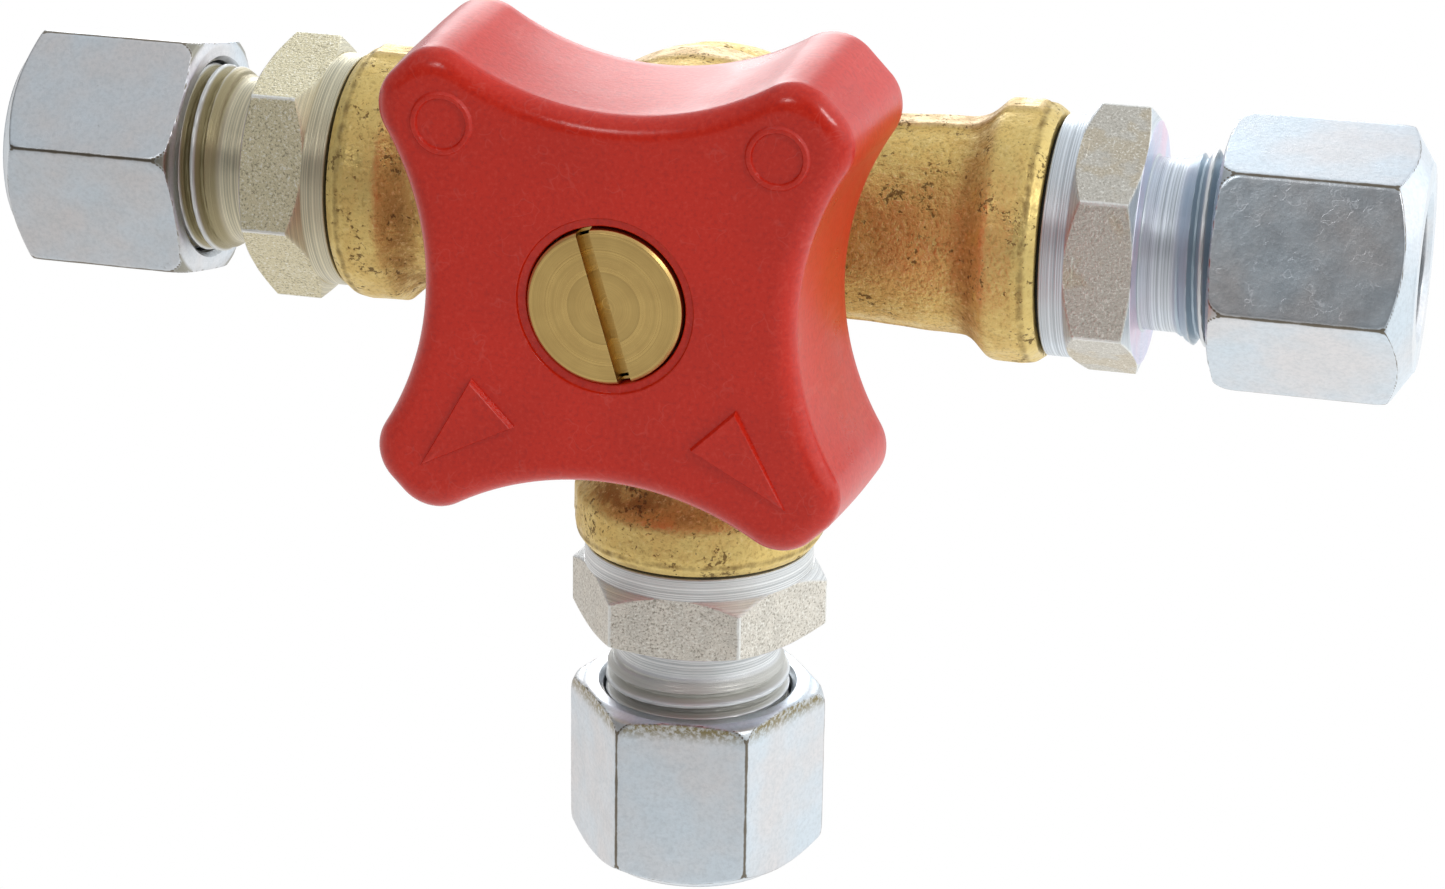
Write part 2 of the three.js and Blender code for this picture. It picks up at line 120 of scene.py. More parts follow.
class ValveBodySettings(bpy.types.PropertyGroup):
    """Sizes and colours of the forged body."""

    face: length("Port face", "Plug axis to the sealing face of each port", 0.03345)
    neck_inner: length("Neck at barrel", "Radius of each neck where it leaves the barrel", 0.00925)
    neck_outer: length("Neck at collar", "Radius of each neck at the foot of its shoulder",
                       0.00978)
    collar: length("Collar", "Radius of the end collars", 0.012)
    barrel: length("Barrel", "Radius of the barrel round the plug", 0.0144)
    land_half: length("Parting land", "Half the width of the trimmed land on the parting line",
                      0.0017)
    land_height: length("Land height", "How far the trimmed land stands above the round", 0.0002)
    colour: shade_of("Brass", "Clean forged brass", 238, 206, 124)
    # the darker brown in the foot of each shoulder is not this colour: it is painted shade, laid
    # by forged_brass from the crevice value
    oxide: shade_of("Oxide", "Brown oxide in the shoulders and patches", 178, 140, 78)
    roughness: gloss("Gloss of the forged skin", 0.47)


class ValveHandleSettings(bpy.types.PropertyGroup):
    """Sizes and colours of the cross handle and its screw."""

    waist: length("Waist", "Centre to the middle of each hollow side, at the back", 0.0175)
    tip: length("Tip", "Centre to the end of each lobe, at the back", 0.028)
    side_arc: length("Side arc", "Radius of the hollow sides", 0.026)
    lobe_corner: length("Lobe corner", "Corner radius of a lobe, at the back", 0.0042)
    draft: length("Draft", "How much the outline shrinks from back to front", 0.00072)
    edge_round: length("Edge round", "Rounding between front and sides", 0.0021)
    back: length("Back", "Place of the back rim along the plug axis", -0.0163)
    front: length("Front", "Place of the front face along the plug axis", -0.0326)
    askew: slant("Askew", "Turn of the handle on its square", 0.9)
    colour: shade_of("Plastic", "Red moulded plastic", 213, 36, 10)
    roughness: gloss("Gloss of the plastic", 0.22)
    screw_radius: length("Screw head", "Radius of the slotted screw head", 0.00694)
    slot_width: length("Slot width", "Width of the screwdriver slot", 0.0012)
    slot_turn: slant("Slot turn", "Angle of the slot from upright", 16.4)
    screw_colour: shade_of("Screw brass", "Turned brass of the screw", 236, 200, 126)


class ValveFittingSettings(bpy.types.PropertyGroup):
    """Sizes and colours of the couplings and union nuts."""

    across_flats: length("Across flats", "Spanner size of the hexagons", 0.022)
    nut_corner: length("Nut corner", "Rounding of the nut's six corners", 0.00045)
    coupling_corner: length("Coupling corner", "Rounding of the coupling's six corners", 0.0003)
    thread_radius: length("Thread radius", "Radius over the thread crests", 0.009)
    thread_pitch: length("Thread pitch", "Distance from crest to crest", 0.0015)
    shank: length("Shank", "Radius of the undercut beside the hexagon", 0.0079)
    zinc: shade_of("Zinc", "Blue passivated zinc on the nuts", 212, 222, 230)
    steel: shade_of("Plated steel", "Milled flats of the couplings", 228, 222, 211)


class ValveStageSettings(bpy.types.PropertyGroup):
    """Camera, floor and light."""

    azimuth: slant("Azimuth", "Camera angle round the valve", 14.709)
    elevation: slant("Elevation", "Camera angle above the horizon", 20.611)
    roll: slant("Roll", "Tilt of the picture", 0.876)
    distance: length("Distance", "Camera to the point it looks at", 0.366023)
    target: bpy.props.FloatVectorProperty(
        name="Target", description="Point the camera looks at", subtype="XYZ", unit="LENGTH",
        size=3, default=(0.002147, 0.0, -0.024077))
    lens: bpy.props.FloatProperty(
        name="Lens", description="Focal length on a 36 mm wide sensor", unit="CAMERA",
        default=95.24)
    floor_drop: length("Floor drop", "Gap between the lowest nut and the floor", 0.03)
    brightness: bpy.props.FloatProperty(
        name="Brightness", description="Strength of all the light", default=1.0, min=0.0)


# ---- surfaces ---------------------------------------------------------------------------------

def in_mm(value):
    """Metres to millimetres."""
    return value / MM


def axis_place(side, along, across, out):
    """Turns (along the port, along the plug axis, the third way) into x, y, z for one port."""
    along, across, out = np.broadcast_arrays(along, across, out)
    if side == "right":
        return np.stack([along, across, out], axis=-1)
    if side == "left":
        return np.stack([-along, across, out], axis=-1)
    return np.stack([out, across, -along], axis=-1)


def fitting_place(side, along, angle, radius):
    """Cylinder coordinates of a port: angle runs from +Y to +Z on the run, +X to +Y below."""
    across, out = radius * np.cos(angle), radius * np.sin(angle)
    if side == "branch":
        across, out = out, across
    return axis_place(side, along, across, out)


def plug_place(along, angle, radius):
    """Cylinder coordinates of the plug axis: angle runs from +Z to +X."""
    return np.stack(np.broadcast_arrays(radius * np.sin(angle), along, radius * np.cos(angle)), -1)


def about_plug(points, angle):
    """Points turned about the plug axis, from +Z towards +X."""
    c, s = math.cos(angle), math.sin(angle)
    x, y, z = points[..., 0], points[..., 1], points[..., 2]
    return np.stack([x * c + z * s, y, -x * s + z * c], -1)


def round_angles(count):
    """Even angles once round."""
    return np.linspace(0, 2 * np.pi, count, endpoint=False)[None, :]


def crowded_angles(start, count, per_part, crowding):
    """Angles once round, in count equal parts from start, packed closer at each part's ends.

    Inside a part the place goes as (1 - c) t + c sin(pi t / 2) for t from -1 to 1.
    """
    t = np.linspace(-1.0, 1.0, per_part, endpoint=False)
    eased = (1.0 - crowding) * t + crowding * np.sin(t * np.pi / 2)
    width = 2 * np.pi / count
    parts = start + width * (np.arange(count)[:, None] + (eased[None, :] + 1) / 2)
    return parts.reshape(1, -1)


def soft_min(a, b, width):
    """The lesser of two fields, with the crease between them rounded over the given width."""
    near = np.clip(width - np.abs(a - b), 0.0, None) / width
    return np.minimum(a, b) - near * near * width * 0.25


def soft_max(a, b, width):
    """The greater of two fields, with a rounded crease."""
    return -soft_min(-a, -b, width)


def smooth_step(low, high, value):
    """Zero below low, one above high, and 3 t squared - 2 t cubed between."""
    t = np.clip((value - low) / (high - low), 0.0, 1.0)
    return t * t * (3 - 2 * t)


def from_corner(angle, corner_angle):
    """Angle to the nearest of a hexagon's corners."""
    return np.abs((angle - corner_angle + np.pi / 6) % (np.pi / 3) - np.pi / 6)


def hexagon_radius(angle, corner_angle, across_flats, corner_round):
    """Distance from the axis to a hexagon whose corners are arcs tangent to its flats."""
    apothem = across_flats / 2
    off = from_corner(angle, corner_angle)
    flat = apothem / np.cos(np.pi / 6 - off)
    middle = (apothem - corner_round) / math.cos(np.pi / 6)
    under = np.clip(corner_round ** 2 - (middle * np.sin(off)) ** 2, 0.0, None)
    arc = middle * np.cos(off) + np.sqrt(under)
    tangent = np.arctan((apothem - corner_round) * math.tan(np.pi / 6) / apothem)
    return np.where(np.pi / 6 - off > tangent, arc, flat)


def lumps(points, size, seed):
    """Gentle unevenness: the mean of nine sine waves of about one length, each its own way."""
    rng = np.random.default_rng(seed)
    way = rng.normal(size=(9, 3))
    way /= np.linalg.norm(way, axis=1, keepdims=True)
    wave = 2 * np.pi / (size * rng.uniform(0.7, 1.4, 9))
    phase = rng.uniform(0, 2 * np.pi, 9)
    return np.sin((points @ way.T) * wave + phase).mean(axis=-1)


def rounded_path(corners, step):
    """Outline through (along, radius, rounding) corners.

    Every corner with a rounding becomes an arc tangent to its two sides, and no piece of the
    outline is longer than step.
    """
    knots = [np.array(c[:2], float) for c in corners]
    path = []
    for i, here in enumerate(knots):
        rounding = corners[i][2] if len(corners[i]) > 2 else 0.0
        if rounding == 0.0 or i == 0 or i == len(knots) - 1:
            path.append(here[None, :])
            continue
        back, ahead = knots[i - 1] - here, knots[i + 1] - here
        reach = 0.49 * min(np.linalg.norm(back), np.linalg.norm(ahead))
        back, ahead = back / np.linalg.norm(back), ahead / np.linalg.norm(ahead)
        half = math.acos(float(np.clip(back @ ahead, -0.9999, 0.9999))) / 2
        cut = min(rounding / math.tan(half), reach)
        middle = here + (back + ahead) / np.linalg.norm(back + ahead) * cut / math.cos(half)
        turn = math.pi - 2 * half
        t = np.linspace(0, 1, 9)[:, None]
        first, last = here + back * cut - middle, here + ahead * cut - middle
        mixed = (np.sin((1 - t) * turn) * first + np.sin(t * turn) * last) / math.sin(turn)
        path.append(middle + mixed)
    path = np.concatenate(path)
    pieces = []
    for a, b in zip(path[:-1], path[1:]):
        count = max(1, math.ceil(np.linalg.norm(b - a) / step))
        pieces.append(a + (b - a) * np.arange(count)[:, None] / count)
    pieces.append(path[-1:])
    return np.concatenate(pieces)


class Shell:
    """A closed skin: a grid whose columns meet, with its rows closed on themselves or capped."""

    def __init__(self, points, loop=False, masks=None):
        self.points = points
        self.loop = loop
        self.masks = masks or {}

    def data(self):
        """Corners, faces and masks, wound so that the enclosed volume is positive."""
        rows, columns = self.points.shape[:2]
        corners = self.points.reshape(-1, 3)
        row = np.arange(rows if self.loop else rows - 1)[:, None] * columns
        above = (row + columns) % (rows * columns)
        here = np.arange(columns)[None, :]
        beside = (here + 1) % columns
        quads = np.stack([row + here, row + beside, above + beside, above + here], axis=-1)
        quads = quads.reshape(-1, 4)
        fans = np.zeros((0, 3), int)
        masks = {key: np.broadcast_to(field, (rows, columns)).ravel()
                 for key, field in self.masks.items()}
        if not self.loop:
            ends = [corners[:columns].mean(0), corners[-columns:].mean(0)]
            first = len(corners)
            step = np.arange(columns)
            top = (rows - 1) * columns
            low = np.stack([np.full(columns, first), (step + 1) % columns, step], axis=-1)
            high = np.stack([np.full(columns, first + 1), top + step,
                             top + (step + 1) % columns], axis=-1)
            fans = np.concatenate([low, high])
            corners = np.concatenate([corners, ends])
            masks = {k: np.concatenate([m, [m[0], m[-1]]]) for k, m in masks.items()}
        split = np.concatenate([quads[:, [0, 1, 2]], quads[:, [0, 2, 3]], fans])
        a, b, c = corners[split[:, 0]], corners[split[:, 1]], corners[split[:, 2]]
        if np.einsum("ij,ij->i", a, np.cross(b, c)).sum() < 0:
            quads, fans = quads[:, ::-1], fans[:, ::-1]
        return corners, quads, fans, masks


class Rings:
    """Rows round a port, gathered from one end of an outline to the other with their values."""

    def __init__(self, angle, *names):
        self.angle = angle
        self.rows = []
        self.fields = {name: [] for name in names}

    def add(self, along, radius, **values):
        """Adds rows at the places along; a value that isn't given is nought."""
        along = np.asarray(along, float).reshape(-1, 1)
        radius = np.broadcast_to(radius, (len(along), self.angle.shape[1]))
        self.rows.append((along + 0 * self.angle, radius))
        for name, parts in self.fields.items():
            parts.append(np.broadcast_to(values.get(name, 0.0), radius.shape))

    def path(self, outline):
        """Adds plain rows along an outline."""
        self.add(outline[:, 0], outline[:, 1:])

    def shell(self, side):
        """The closed skin, placed on one side's port."""
        along, radius = (np.concatenate(part) for part in zip(*self.rows))
        fields = {name: np.concatenate(parts) for name, parts in self.fields.items()}
        fields.update(along=along, out=radius, tone=np.full((1, 1), TONE[side]))
        return Shell(fitting_place(side, along, self.angle, radius), loop=True, masks=fields)


def make_piece(name, shells, body, nodes, material, sharp=40.0):
    """Puts shells given in millimetres into one mesh that rides on a body and replaces nodes."""
    corners, faces, masks, start = [], [], {}, 0
    for shell in shells:
        points, quads, fans, own = shell.data()
        faces += (quads + start).tolist() + (fans + start).tolist()
        for key in {**masks, **own}:
            before = masks.get(key, np.zeros(start))
            masks[key] = np.concatenate([before, own.get(key, np.zeros(len(points)))])
        corners.append(points)
        start += len(points)
    mesh = bpy.data.meshes.new(name)
    mesh.from_pydata(np.concatenate(corners) * MM, [], faces)
    for key, values in masks.items():
        layer = mesh.attributes.new(key, "FLOAT", "POINT")
        layer.data.foreach_set("value", values.astype(np.float32))
    mesh.shade_smooth()
    mesh.set_sharp_from_angle(angle=math.radians(sharp))
    mesh.materials.append(material)
    piece = bpy.data.objects.new(name, mesh)
    bpy.context.scene.collection.objects.link(piece)
    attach(piece, body)
    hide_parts(*nodes)
    return piece


# ---- shapes of the valve's own pieces ---------------------------------------------------------

def parting_land(radius, across, settings):
    """The trimmed parting line: a flat strip a little above the round, soft at its edges."""
    half, rise = in_mm(settings.land_half), in_mm(settings.land_height)
    edge = 0.12
    inside = 1.0 - smooth_step(half - edge, half + edge, np.abs(across))
    flat = np.sqrt((radius + rise) ** 2 + across ** 2)
    return radius + inside * np.clip(flat - radius, 0.0, 0.4), inside


def barrel_radius(y):
    """Radius of the barrel along the plug axis: a low crown with rounded shoulders."""
    places = (-13.5, -13.2, -9.6, -4.2, 0.0, 4.2, 8.0, 9.6, 11.0, 12.0)
    radii = (13.1, 13.4, 13.55, 14.2, 14.4, 14.2, 13.4, 12.85, 12.0, 10.2)
    return np.interp(y, places, radii)


def barrel_shell(settings):
    """The barrel: its outline turned round the plug axis, with the bonnet bore left open."""
    crown = in_mm(settings.barrel) - BARREL_CROWN
    path = rounded_path([
        (12.5, 0.02), (12.5, 8.0, 0.3), (12.1, 8.35, 0.3), (11.9, 10.4, 1.2),
        (10.6, 12.3, 2.2), (8.0, 13.4, 3.0), (4.2, 14.2, 4.0), (0.0, 14.42, 5.0),
        (-4.2, 14.2, 4.0), (-9.6, 13.6, 2.0), (-13.1, 13.45, 0.3), (-13.5, 13.0, 0.2),
        (-13.5, 11.85, 0.2), (-13.1, 11.6, 0.2), (-10.8, 11.6),
    ], 0.5)
    cavity = rounded_path([(-10.8, 11.6), (-10.8, 10.3), (10.0, 10.3), (10.0, 0.02)], 3.0)
    path = np.concatenate([path, cavity[1:]])
    angle = round_angles(200)
    y, radius = path[:, :1], path[:, 1:] + crown * (path[:, 1:] > 12.0)
    outside = np.arange(len(path))[:, None] < np.argmax(path[:, 0] < -13.2)
    outside = outside & (radius > 8.6)
    place = plug_place(y, angle, radius)
    uneven = 0.07 * lumps(place, 7.0, 3) + 0.03 * lumps(place, 2.4, 4)
    landed, land = parting_land(radius + 0 * angle, y + 0 * angle, settings)
    radius = np.where(outside, landed + uneven, radius)
    masks = {"land": land * outside, "machined": 1.0 - outside}
    return Shell(plug_place(y, angle, radius), masks=masks)


def arm_shell(side, settings):
    """One arm of the tee.

    It starts as the groove a ball rolls between barrel and neck: the ball's middle is one ball
    radius from both, and the row turns evenly from the barrel's side of it to the neck's. Then
    it runs up the tapering neck, over the shoulder and collar to the machined face, and comes
    back down the bore.
    """
    neck, neck_far = in_mm(settings.neck_inner), in_mm(settings.neck_outer)
    collar, face = in_mm(settings.collar), in_mm(settings.face)
    angle = crowded_angles(np.pi / 2, 2, 80, 0.72)
    up, out = np.cos(angle), np.sin(angle)
    ball = 1.3 + 1.5 * out ** 2
    ball_across, ball_out = (neck + ball) * up, (neck + ball) * out
    barrel = barrel_radius(ball_across)
    ball_along = np.sqrt((barrel + ball) ** 2 - ball_out ** 2)
    to_barrel = np.stack([ball_along, 0 * angle, ball_out], 0) / (barrel + ball)
    to_neck = np.stack([0 * angle, up, out], 0)
    share = np.linspace(0, 1, 14)[:, None, None, None]
    turn = np.arccos(np.clip((to_barrel * to_neck).sum(0), -1, 1))
    mixed = (np.sin((1 - share) * turn) * to_barrel + np.sin(share * turn) * to_neck)
    mixed = mixed / np.sin(turn)
    centre = np.stack([ball_along, ball_across, ball_out], 0)
    groove = centre - ball * mixed
    sunk = groove[:1] - 0.7 * to_barrel
    rows = np.concatenate([sunk, groove]).squeeze(axis=2)
    along, across, third = rows[:, 0], rows[:, 1], rows[:, 2]
    radius = np.hypot(across, third)
    share = np.linspace(0, 1, 27)[1:, None]
    neck_along = along[-1:] + (NECK_END - along[-1:]) * share
    neck_radius = neck + (neck_far - neck) * share + 0 * angle
    path = rounded_path([
        (NECK_END, neck_far), (26.4, neck_far + 0.1, 3.4), (28.6, collar - 0.02, 1.4),
        (31.5, collar + 0.05, 0.5), (32.6, collar - 0.1, 1.2), (face - 0.02, 11.3, 0.25),
        (face, 11.0), (face, PORT_BORE),
    ], 0.35)
    bore = rounded_path([(face, PORT_BORE), (22.9, PORT_BORE), (21.5, WATERWAY),
                         (11.0, WATERWAY)], 3.0)
    path = np.concatenate([path, bore[1:]])[1:]
    along = np.concatenate([along, neck_along, path[:, :1] + 0 * angle])
    radius = np.concatenate([radius, neck_radius, path[:, 1:] + 0 * angle])
    place = axis_place(side, along, radius * up, radius * out)
    count = len(along) - len(path)
    outer_end = count + int(np.argmax(path[:, 0] > face - 0.01))
    number = np.arange(len(along))[:, None]
    outside = (number < outer_end) & (number > 1)
    faced = smooth_step(31.8, 32.5, along + 0.35 * lumps(place, 1.6, 8))
    machined = np.maximum(faced, 0.5 * smooth_step(27.4, 28.8, along))
    skin = outside * (1.0 - faced) * smooth_step(-0.5, 3.5, along - along[1:2])
    landed, land = parting_land(radius, radius * up, settings)
    uneven = 0.09 * lumps(place, 8.0, 11) + 0.04 * lumps(place, 2.6, 12)
    worn = 0.035 * lumps(place, 1.3, 13) * outside * faced
    radius = np.where(skin > 0, radius + skin * (landed - radius + uneven), radius) + worn
    # crevice marks the concave foot of each shoulder, where the brass finish paints shade with a
    # little oxide; tone marks the branch, which gets twice as much
    masks = {"land": land * skin, "machined": np.where(outside, machined, 1.0),
             "crevice_shade": np.exp(-((along - 26.8) / 1.4) ** 2) * outside,
             "rim": np.exp(-((along - 32.3) / 0.6) ** 2) * outside,
             "tone": np.full((1, 1), 1.0 if side == "branch" else 0.0)}
    return Shell(axis_place(side, along, radius * up, radius * out), loop=True, masks=masks)


def handle_outline(settings, inset):
    """Outline of the handle pulled in by inset: hollow sides as arcs, two arcs on each lobe.

    The lobe's corner arc touches the side arc from inside, so its middle is where the distance
    to the side arc's middle is the sum of both radii.
    """
    waist = in_mm(settings.waist) - inset
    tip = in_mm(settings.tip) - inset
    arc = in_mm(settings.side_arc) + inset
    far = waist + arc
    root2 = math.sqrt(2.0)
    # the corner arc that alone would round the whole lobe; a bigger one would fold
    whole = (tip * tip + far * far - root2 * far * tip - arc * arc) / (
        2 * arc + 2 * tip - root2 * far)
    corner = min(in_mm(settings.lobe_corner) - 0.25 * inset, 0.97 * whole)
    level = tip - corner
    spread = -root2 * far
    rest = level * level + far * far - root2 * far * level - (arc + corner) ** 2
    shift = (-spread - math.sqrt(spread * spread - 4 * rest)) / 2
    cx, cz = (level - shift) / root2, (level + shift) / root2
    lean = math.atan2(cx, far - cz)
    t = np.linspace(-1, 1, 45)[:-1]
    side = np.stack([-arc * np.sin(lean * t), far - arc * np.cos(lean * t)], -1)
    t = np.linspace(0, 1, 19)[:-1]
    bend = -lean + (lean + math.pi / 4) * t
    first = np.stack([-cx - corner * np.sin(bend), cz + corner * np.cos(bend)], -1)
    bend = math.pi / 4 + (lean + math.pi / 4) * t
    second = np.stack([-cz - corner * np.sin(bend), cx + corner * np.cos(bend)], -1)
    quarter = np.concatenate([side, first, second])
    spun = [np.stack([quarter[:, 0] * math.cos(a) - quarter[:, 1] * math.sin(a),
                      quarter[:, 0] * math.sin(a) + quarter[:, 1] * math.cos(a)], -1)
            for a in (0, math.pi / 2, math.pi, 3 * math.pi / 2)]
    return np.concatenate(spun)


def handle_shell(settings):
    """The handle.

    Outlines are stacked from the back rim round the edge to the front, then down the
    counterbore, through the bore and socket, over the hub and up the hollow back.
    """
    back, front = in_mm(settings.back), in_mm(settings.front)
    rim, hub_floor, socket_floor, hollow = 0.35, -28.5, -24.3, -25.8
    draft, edge = in_mm(settings.draft), in_mm(settings.edge_round)
    outline = handle_outline(settings, 0.0)
    polar = np.arctan2(outline[:, 1], outline[:, 0])
    ray = np.stack([np.cos(polar), np.sin(polar)], -1)
    rows, front_mask = [], []

    def add(ring, y, mask=0.0):
        rows.append(np.concatenate([ring[:, :1], np.broadcast_to(y, (len(ring), 1)),
                                    ring[:, 1:]], axis=1))
        front_mask.append(mask)

    for t in np.linspace(0, math.pi / 2, 5):
        add(handle_outline(settings, rim * (1 - math.sin(t))), back - rim * (1 - math.cos(t)))
    for t in np.linspace(0, 1, 16)[1:]:
        bow = 0.12 * math.sin(math.pi * t)
        add(handle_outline(settings, draft * t - bow),
            back - rim + t * (front + edge - back + rim))
    for t in np.linspace(0, math.pi / 2, 17)[1:]:
        inset = draft + edge * (1 - math.cos(t))
        add(handle_outline(settings, inset), front + edge * (1 - math.sin(t)), t / (math.pi / 2))
    inner = handle_outline(settings, draft + edge)
    lip = ray * 8.1
    for t in np.linspace(0, 1, 22)[1:]:
        add(inner * (1 - t) + lip * t, front, 1.0)
    step = rounded_path([(front, 8.2), (front, 7.98, 0.1), (front + 0.28, 7.86, 0.08),
                         (front + 0.34, 7.15, 0.15), (-28.9, 7.08)], 0.3)
    # the first two points lie on the lip that is already there
    for y, radius in step[2:]:
        add(ray * radius, y, 1.0 if y < front + 0.6 else 0.0)
    for radius, y in ((7.2, hub_floor), (3.45, hub_floor), (3.45, socket_floor)):
        add(ray * radius, y)
    square = 4.25 / np.maximum(np.abs(ray[:, 0]), np.abs(ray[:, 1]))
    for radius, y in ((3.9, socket_floor), (5.75, socket_floor + 0.02), (5.75, back)):
        add(ray * np.minimum(square, radius)[:, None], y)
    # the stop pin's slot is sunk in the hub's end over an arc
    away = np.abs((polar - math.pi / 2 + math.pi) % (2 * math.pi) - math.pi)
    in_slot = 1 - smooth_step(math.radians(54.5), math.radians(56.5), away)
    for radius in (8.2, 8.3, 10.9, 11.0, 12.2):
        deep = 2.8 * in_slot[:, None] if radius in (8.3, 10.9) else 0.0
        add(ray * radius, back - deep)
    for radius, y in ((12.5, back - 0.3), (12.6, -25.4), (13.0, hollow)):
        add(ray * radius, y)
    floor = handle_outline(settings, 3.7)
    for t in np.linspace(0, 1, 8)[1:]:
        add(ray * 13.0 * (1 - t) + floor * t, hollow)
    for inset, y in ((3.3, -25.4), (3.05, back - rim), (2.8, back)):
        add(handle_outline(settings, inset), y)
    points = np.stack(rows)
    facing = np.array(front_mask)[:, None] + 0 * points[..., 0]
    wavy = 0.02 * lumps(points, 9.0, 21)
    points[..., 1] -= wavy * (facing > 0.99)
    return Shell(about_plug(points, settings.askew), loop=True, masks={"facing": facing})


def ring_mark_shell(settings, bearing):
    """A raised ring on a lobe: a low bead turned round the ring's own centre."""
    front = in_mm(settings.front)
    path = rounded_path([
        (front + 0.1, 2.1), (front, 2.16, 0.08), (front - 0.27, 2.3, 0.1),
        (front - 0.27, 2.64, 0.1), (front, 2.84, 0.08), (front + 0.1, 2.9),
    ], 0.1)
    angle = round_angles(96)
    a, reach = math.radians(bearing), 21.0
    x = reach * math.cos(a) + path[:, 1:] * np.cos(angle)
    z = reach * math.sin(a) + path[:, 1:] * np.sin(angle)
    points = np.stack([x, path[:, :1] + 0 * x, z], -1)
    return Shell(about_plug(points, settings.askew), loop=True, masks={"facing": 1.0 + 0 * x})


def arrow_mark_shell(settings, bearing):
    """A raised arrow on a lobe: a thin wedge, highest at its base and fading to its point.

    Rows are the same triangle drawn in towards its middle, first up the side, then flat.
    """
    front = in_mm(settings.front)
    point, base = 23.4, 14.2
    corners = np.array([(point, 0.0), (base, 2.75), (base, -2.75)])
    t = np.linspace(0, 1, 24, endpoint=False)[:, None]
    edge = np.concatenate([corners[i] + (corners[(i + 1) % 3] - corners[i]) * t
                           for i in range(3)])
    middle = np.array([17.0, 0.0])
    a = math.radians(bearing)
    rows = []
    for shrink, lift in ((1.05, -0.12), (1.03, 0.0), (0.985, 0.8), (0.95, 1.0), (0.5, 1.0),
                         (0.02, 1.0)):
        flat = middle + (edge - middle) * shrink
        height = 0.26 + 0.36 * np.clip((point - flat[:, 0]) / 9.2, 0, 1)
        y = front - np.where(lift > 0, height * lift, lift)
        x = flat[:, 0] * math.cos(a) - flat[:, 1] * math.sin(a)
        z = flat[:, 0] * math.sin(a) + flat[:, 1] * math.cos(a)
        rows.append(np.stack([x, y + 0 * x, z], -1))
    points = np.stack(rows)
    masks = {"facing": 1.0 + 0 * points[..., 0]}
    return Shell(about_plug(points, settings.askew), masks=masks)


def screw_shells(settings):
    """The slotted screw: a disc cut into rows along its slot, wrapped by its turned rim.

    Each row runs across the disc at one distance from the slot's middle, out to the circle;
    rows inside the slot lie at its floor.
    """
    radius, front = in_mm(settings.screw_radius), -32.9
    half, slot_depth = in_mm(settings.slot_width) / 2, 1.5
    reach = radius - 0.25
    last = math.acos((half + 0.2) / reach)
    wide = np.concatenate([
        -reach * np.cos(np.linspace(0, last, 30)),
        [-half - 0.07, -half - 0.02, -half, -half + 0.001, 0.0],
        [half - 0.001, half, half + 0.02, half + 0.07],
        reach * np.cos(np.linspace(last, 0, 30))])
    depth = np.zeros(len(wide))
    depth[np.abs(wide) < half] = slot_depth
    depth[np.isclose(np.abs(wide), half)] = 0.07
    depth[np.isclose(np.abs(wide), half + 0.02)] = 0.02
    run = np.sin(np.linspace(-math.pi / 2, math.pi / 2, 40))
    length = np.sqrt(np.clip(reach ** 2 - wide ** 2, 1e-4, None))
    u = wide[:, None] + 0 * run[None, :]
    v = length[:, None] * run[None, :]
    y = front + depth[:, None] + 0 * v
    top = np.stack([u, y, v], -1)
    under = np.stack([u, -29.8 + 0 * y, v], -1)
    blade = np.concatenate([top, under[:, ::-1]], axis=1)
    rim = rounded_path([
        (front + 0.02, reach - 0.3), (front, reach, 0.1), (front + 0.28, radius, 0.15),
        (-29.5, radius), (-29.5, 2.9), (-13.2, 2.9), (-13.2, 1.5), (-29.9, 1.5),
        (-29.9, reach - 0.3),
    ], 0.5)
    turned = plug_place(rim[:, :1], round_angles(420), rim[:, 1:])
    # the rim steps down where the slot runs out through it
    open_slot = (np.abs(turned[..., 0]) < half) & (turned[..., 1] < front + slot_depth)
    turned[..., 1] = np.where(open_slot, front + slot_depth, turned[..., 1])
    lean = -settings.slot_turn
    return [Shell(about_plug(blade, lean)), Shell(about_plug(turned, lean), loop=True)]


def thread_radius(along, angle, hand, front, settings):
    """A screw thread: sixty degree flanks, flat crests and roots, turning with the angle.

    The depth grows as root three times the distance from the crest's edge, down to the root.
    """
    pitch, crest = in_mm(settings.thread_pitch), in_mm(settings.thread_radius)
    first_crest, root_depth = 46.35, 0.6134
    start = first_crest - hand * pitch * front / 360.0
    turn = (along - start) / pitch - hand * angle / (2 * np.pi)
    from_crest = np.abs((turn + 0.5) % 1.0 - 0.5) * pitch
    depth = np.clip((from_crest - pitch / 14) * math.sqrt(3.0), 0.0, root_depth * pitch)
    return crest + 0.05 - depth


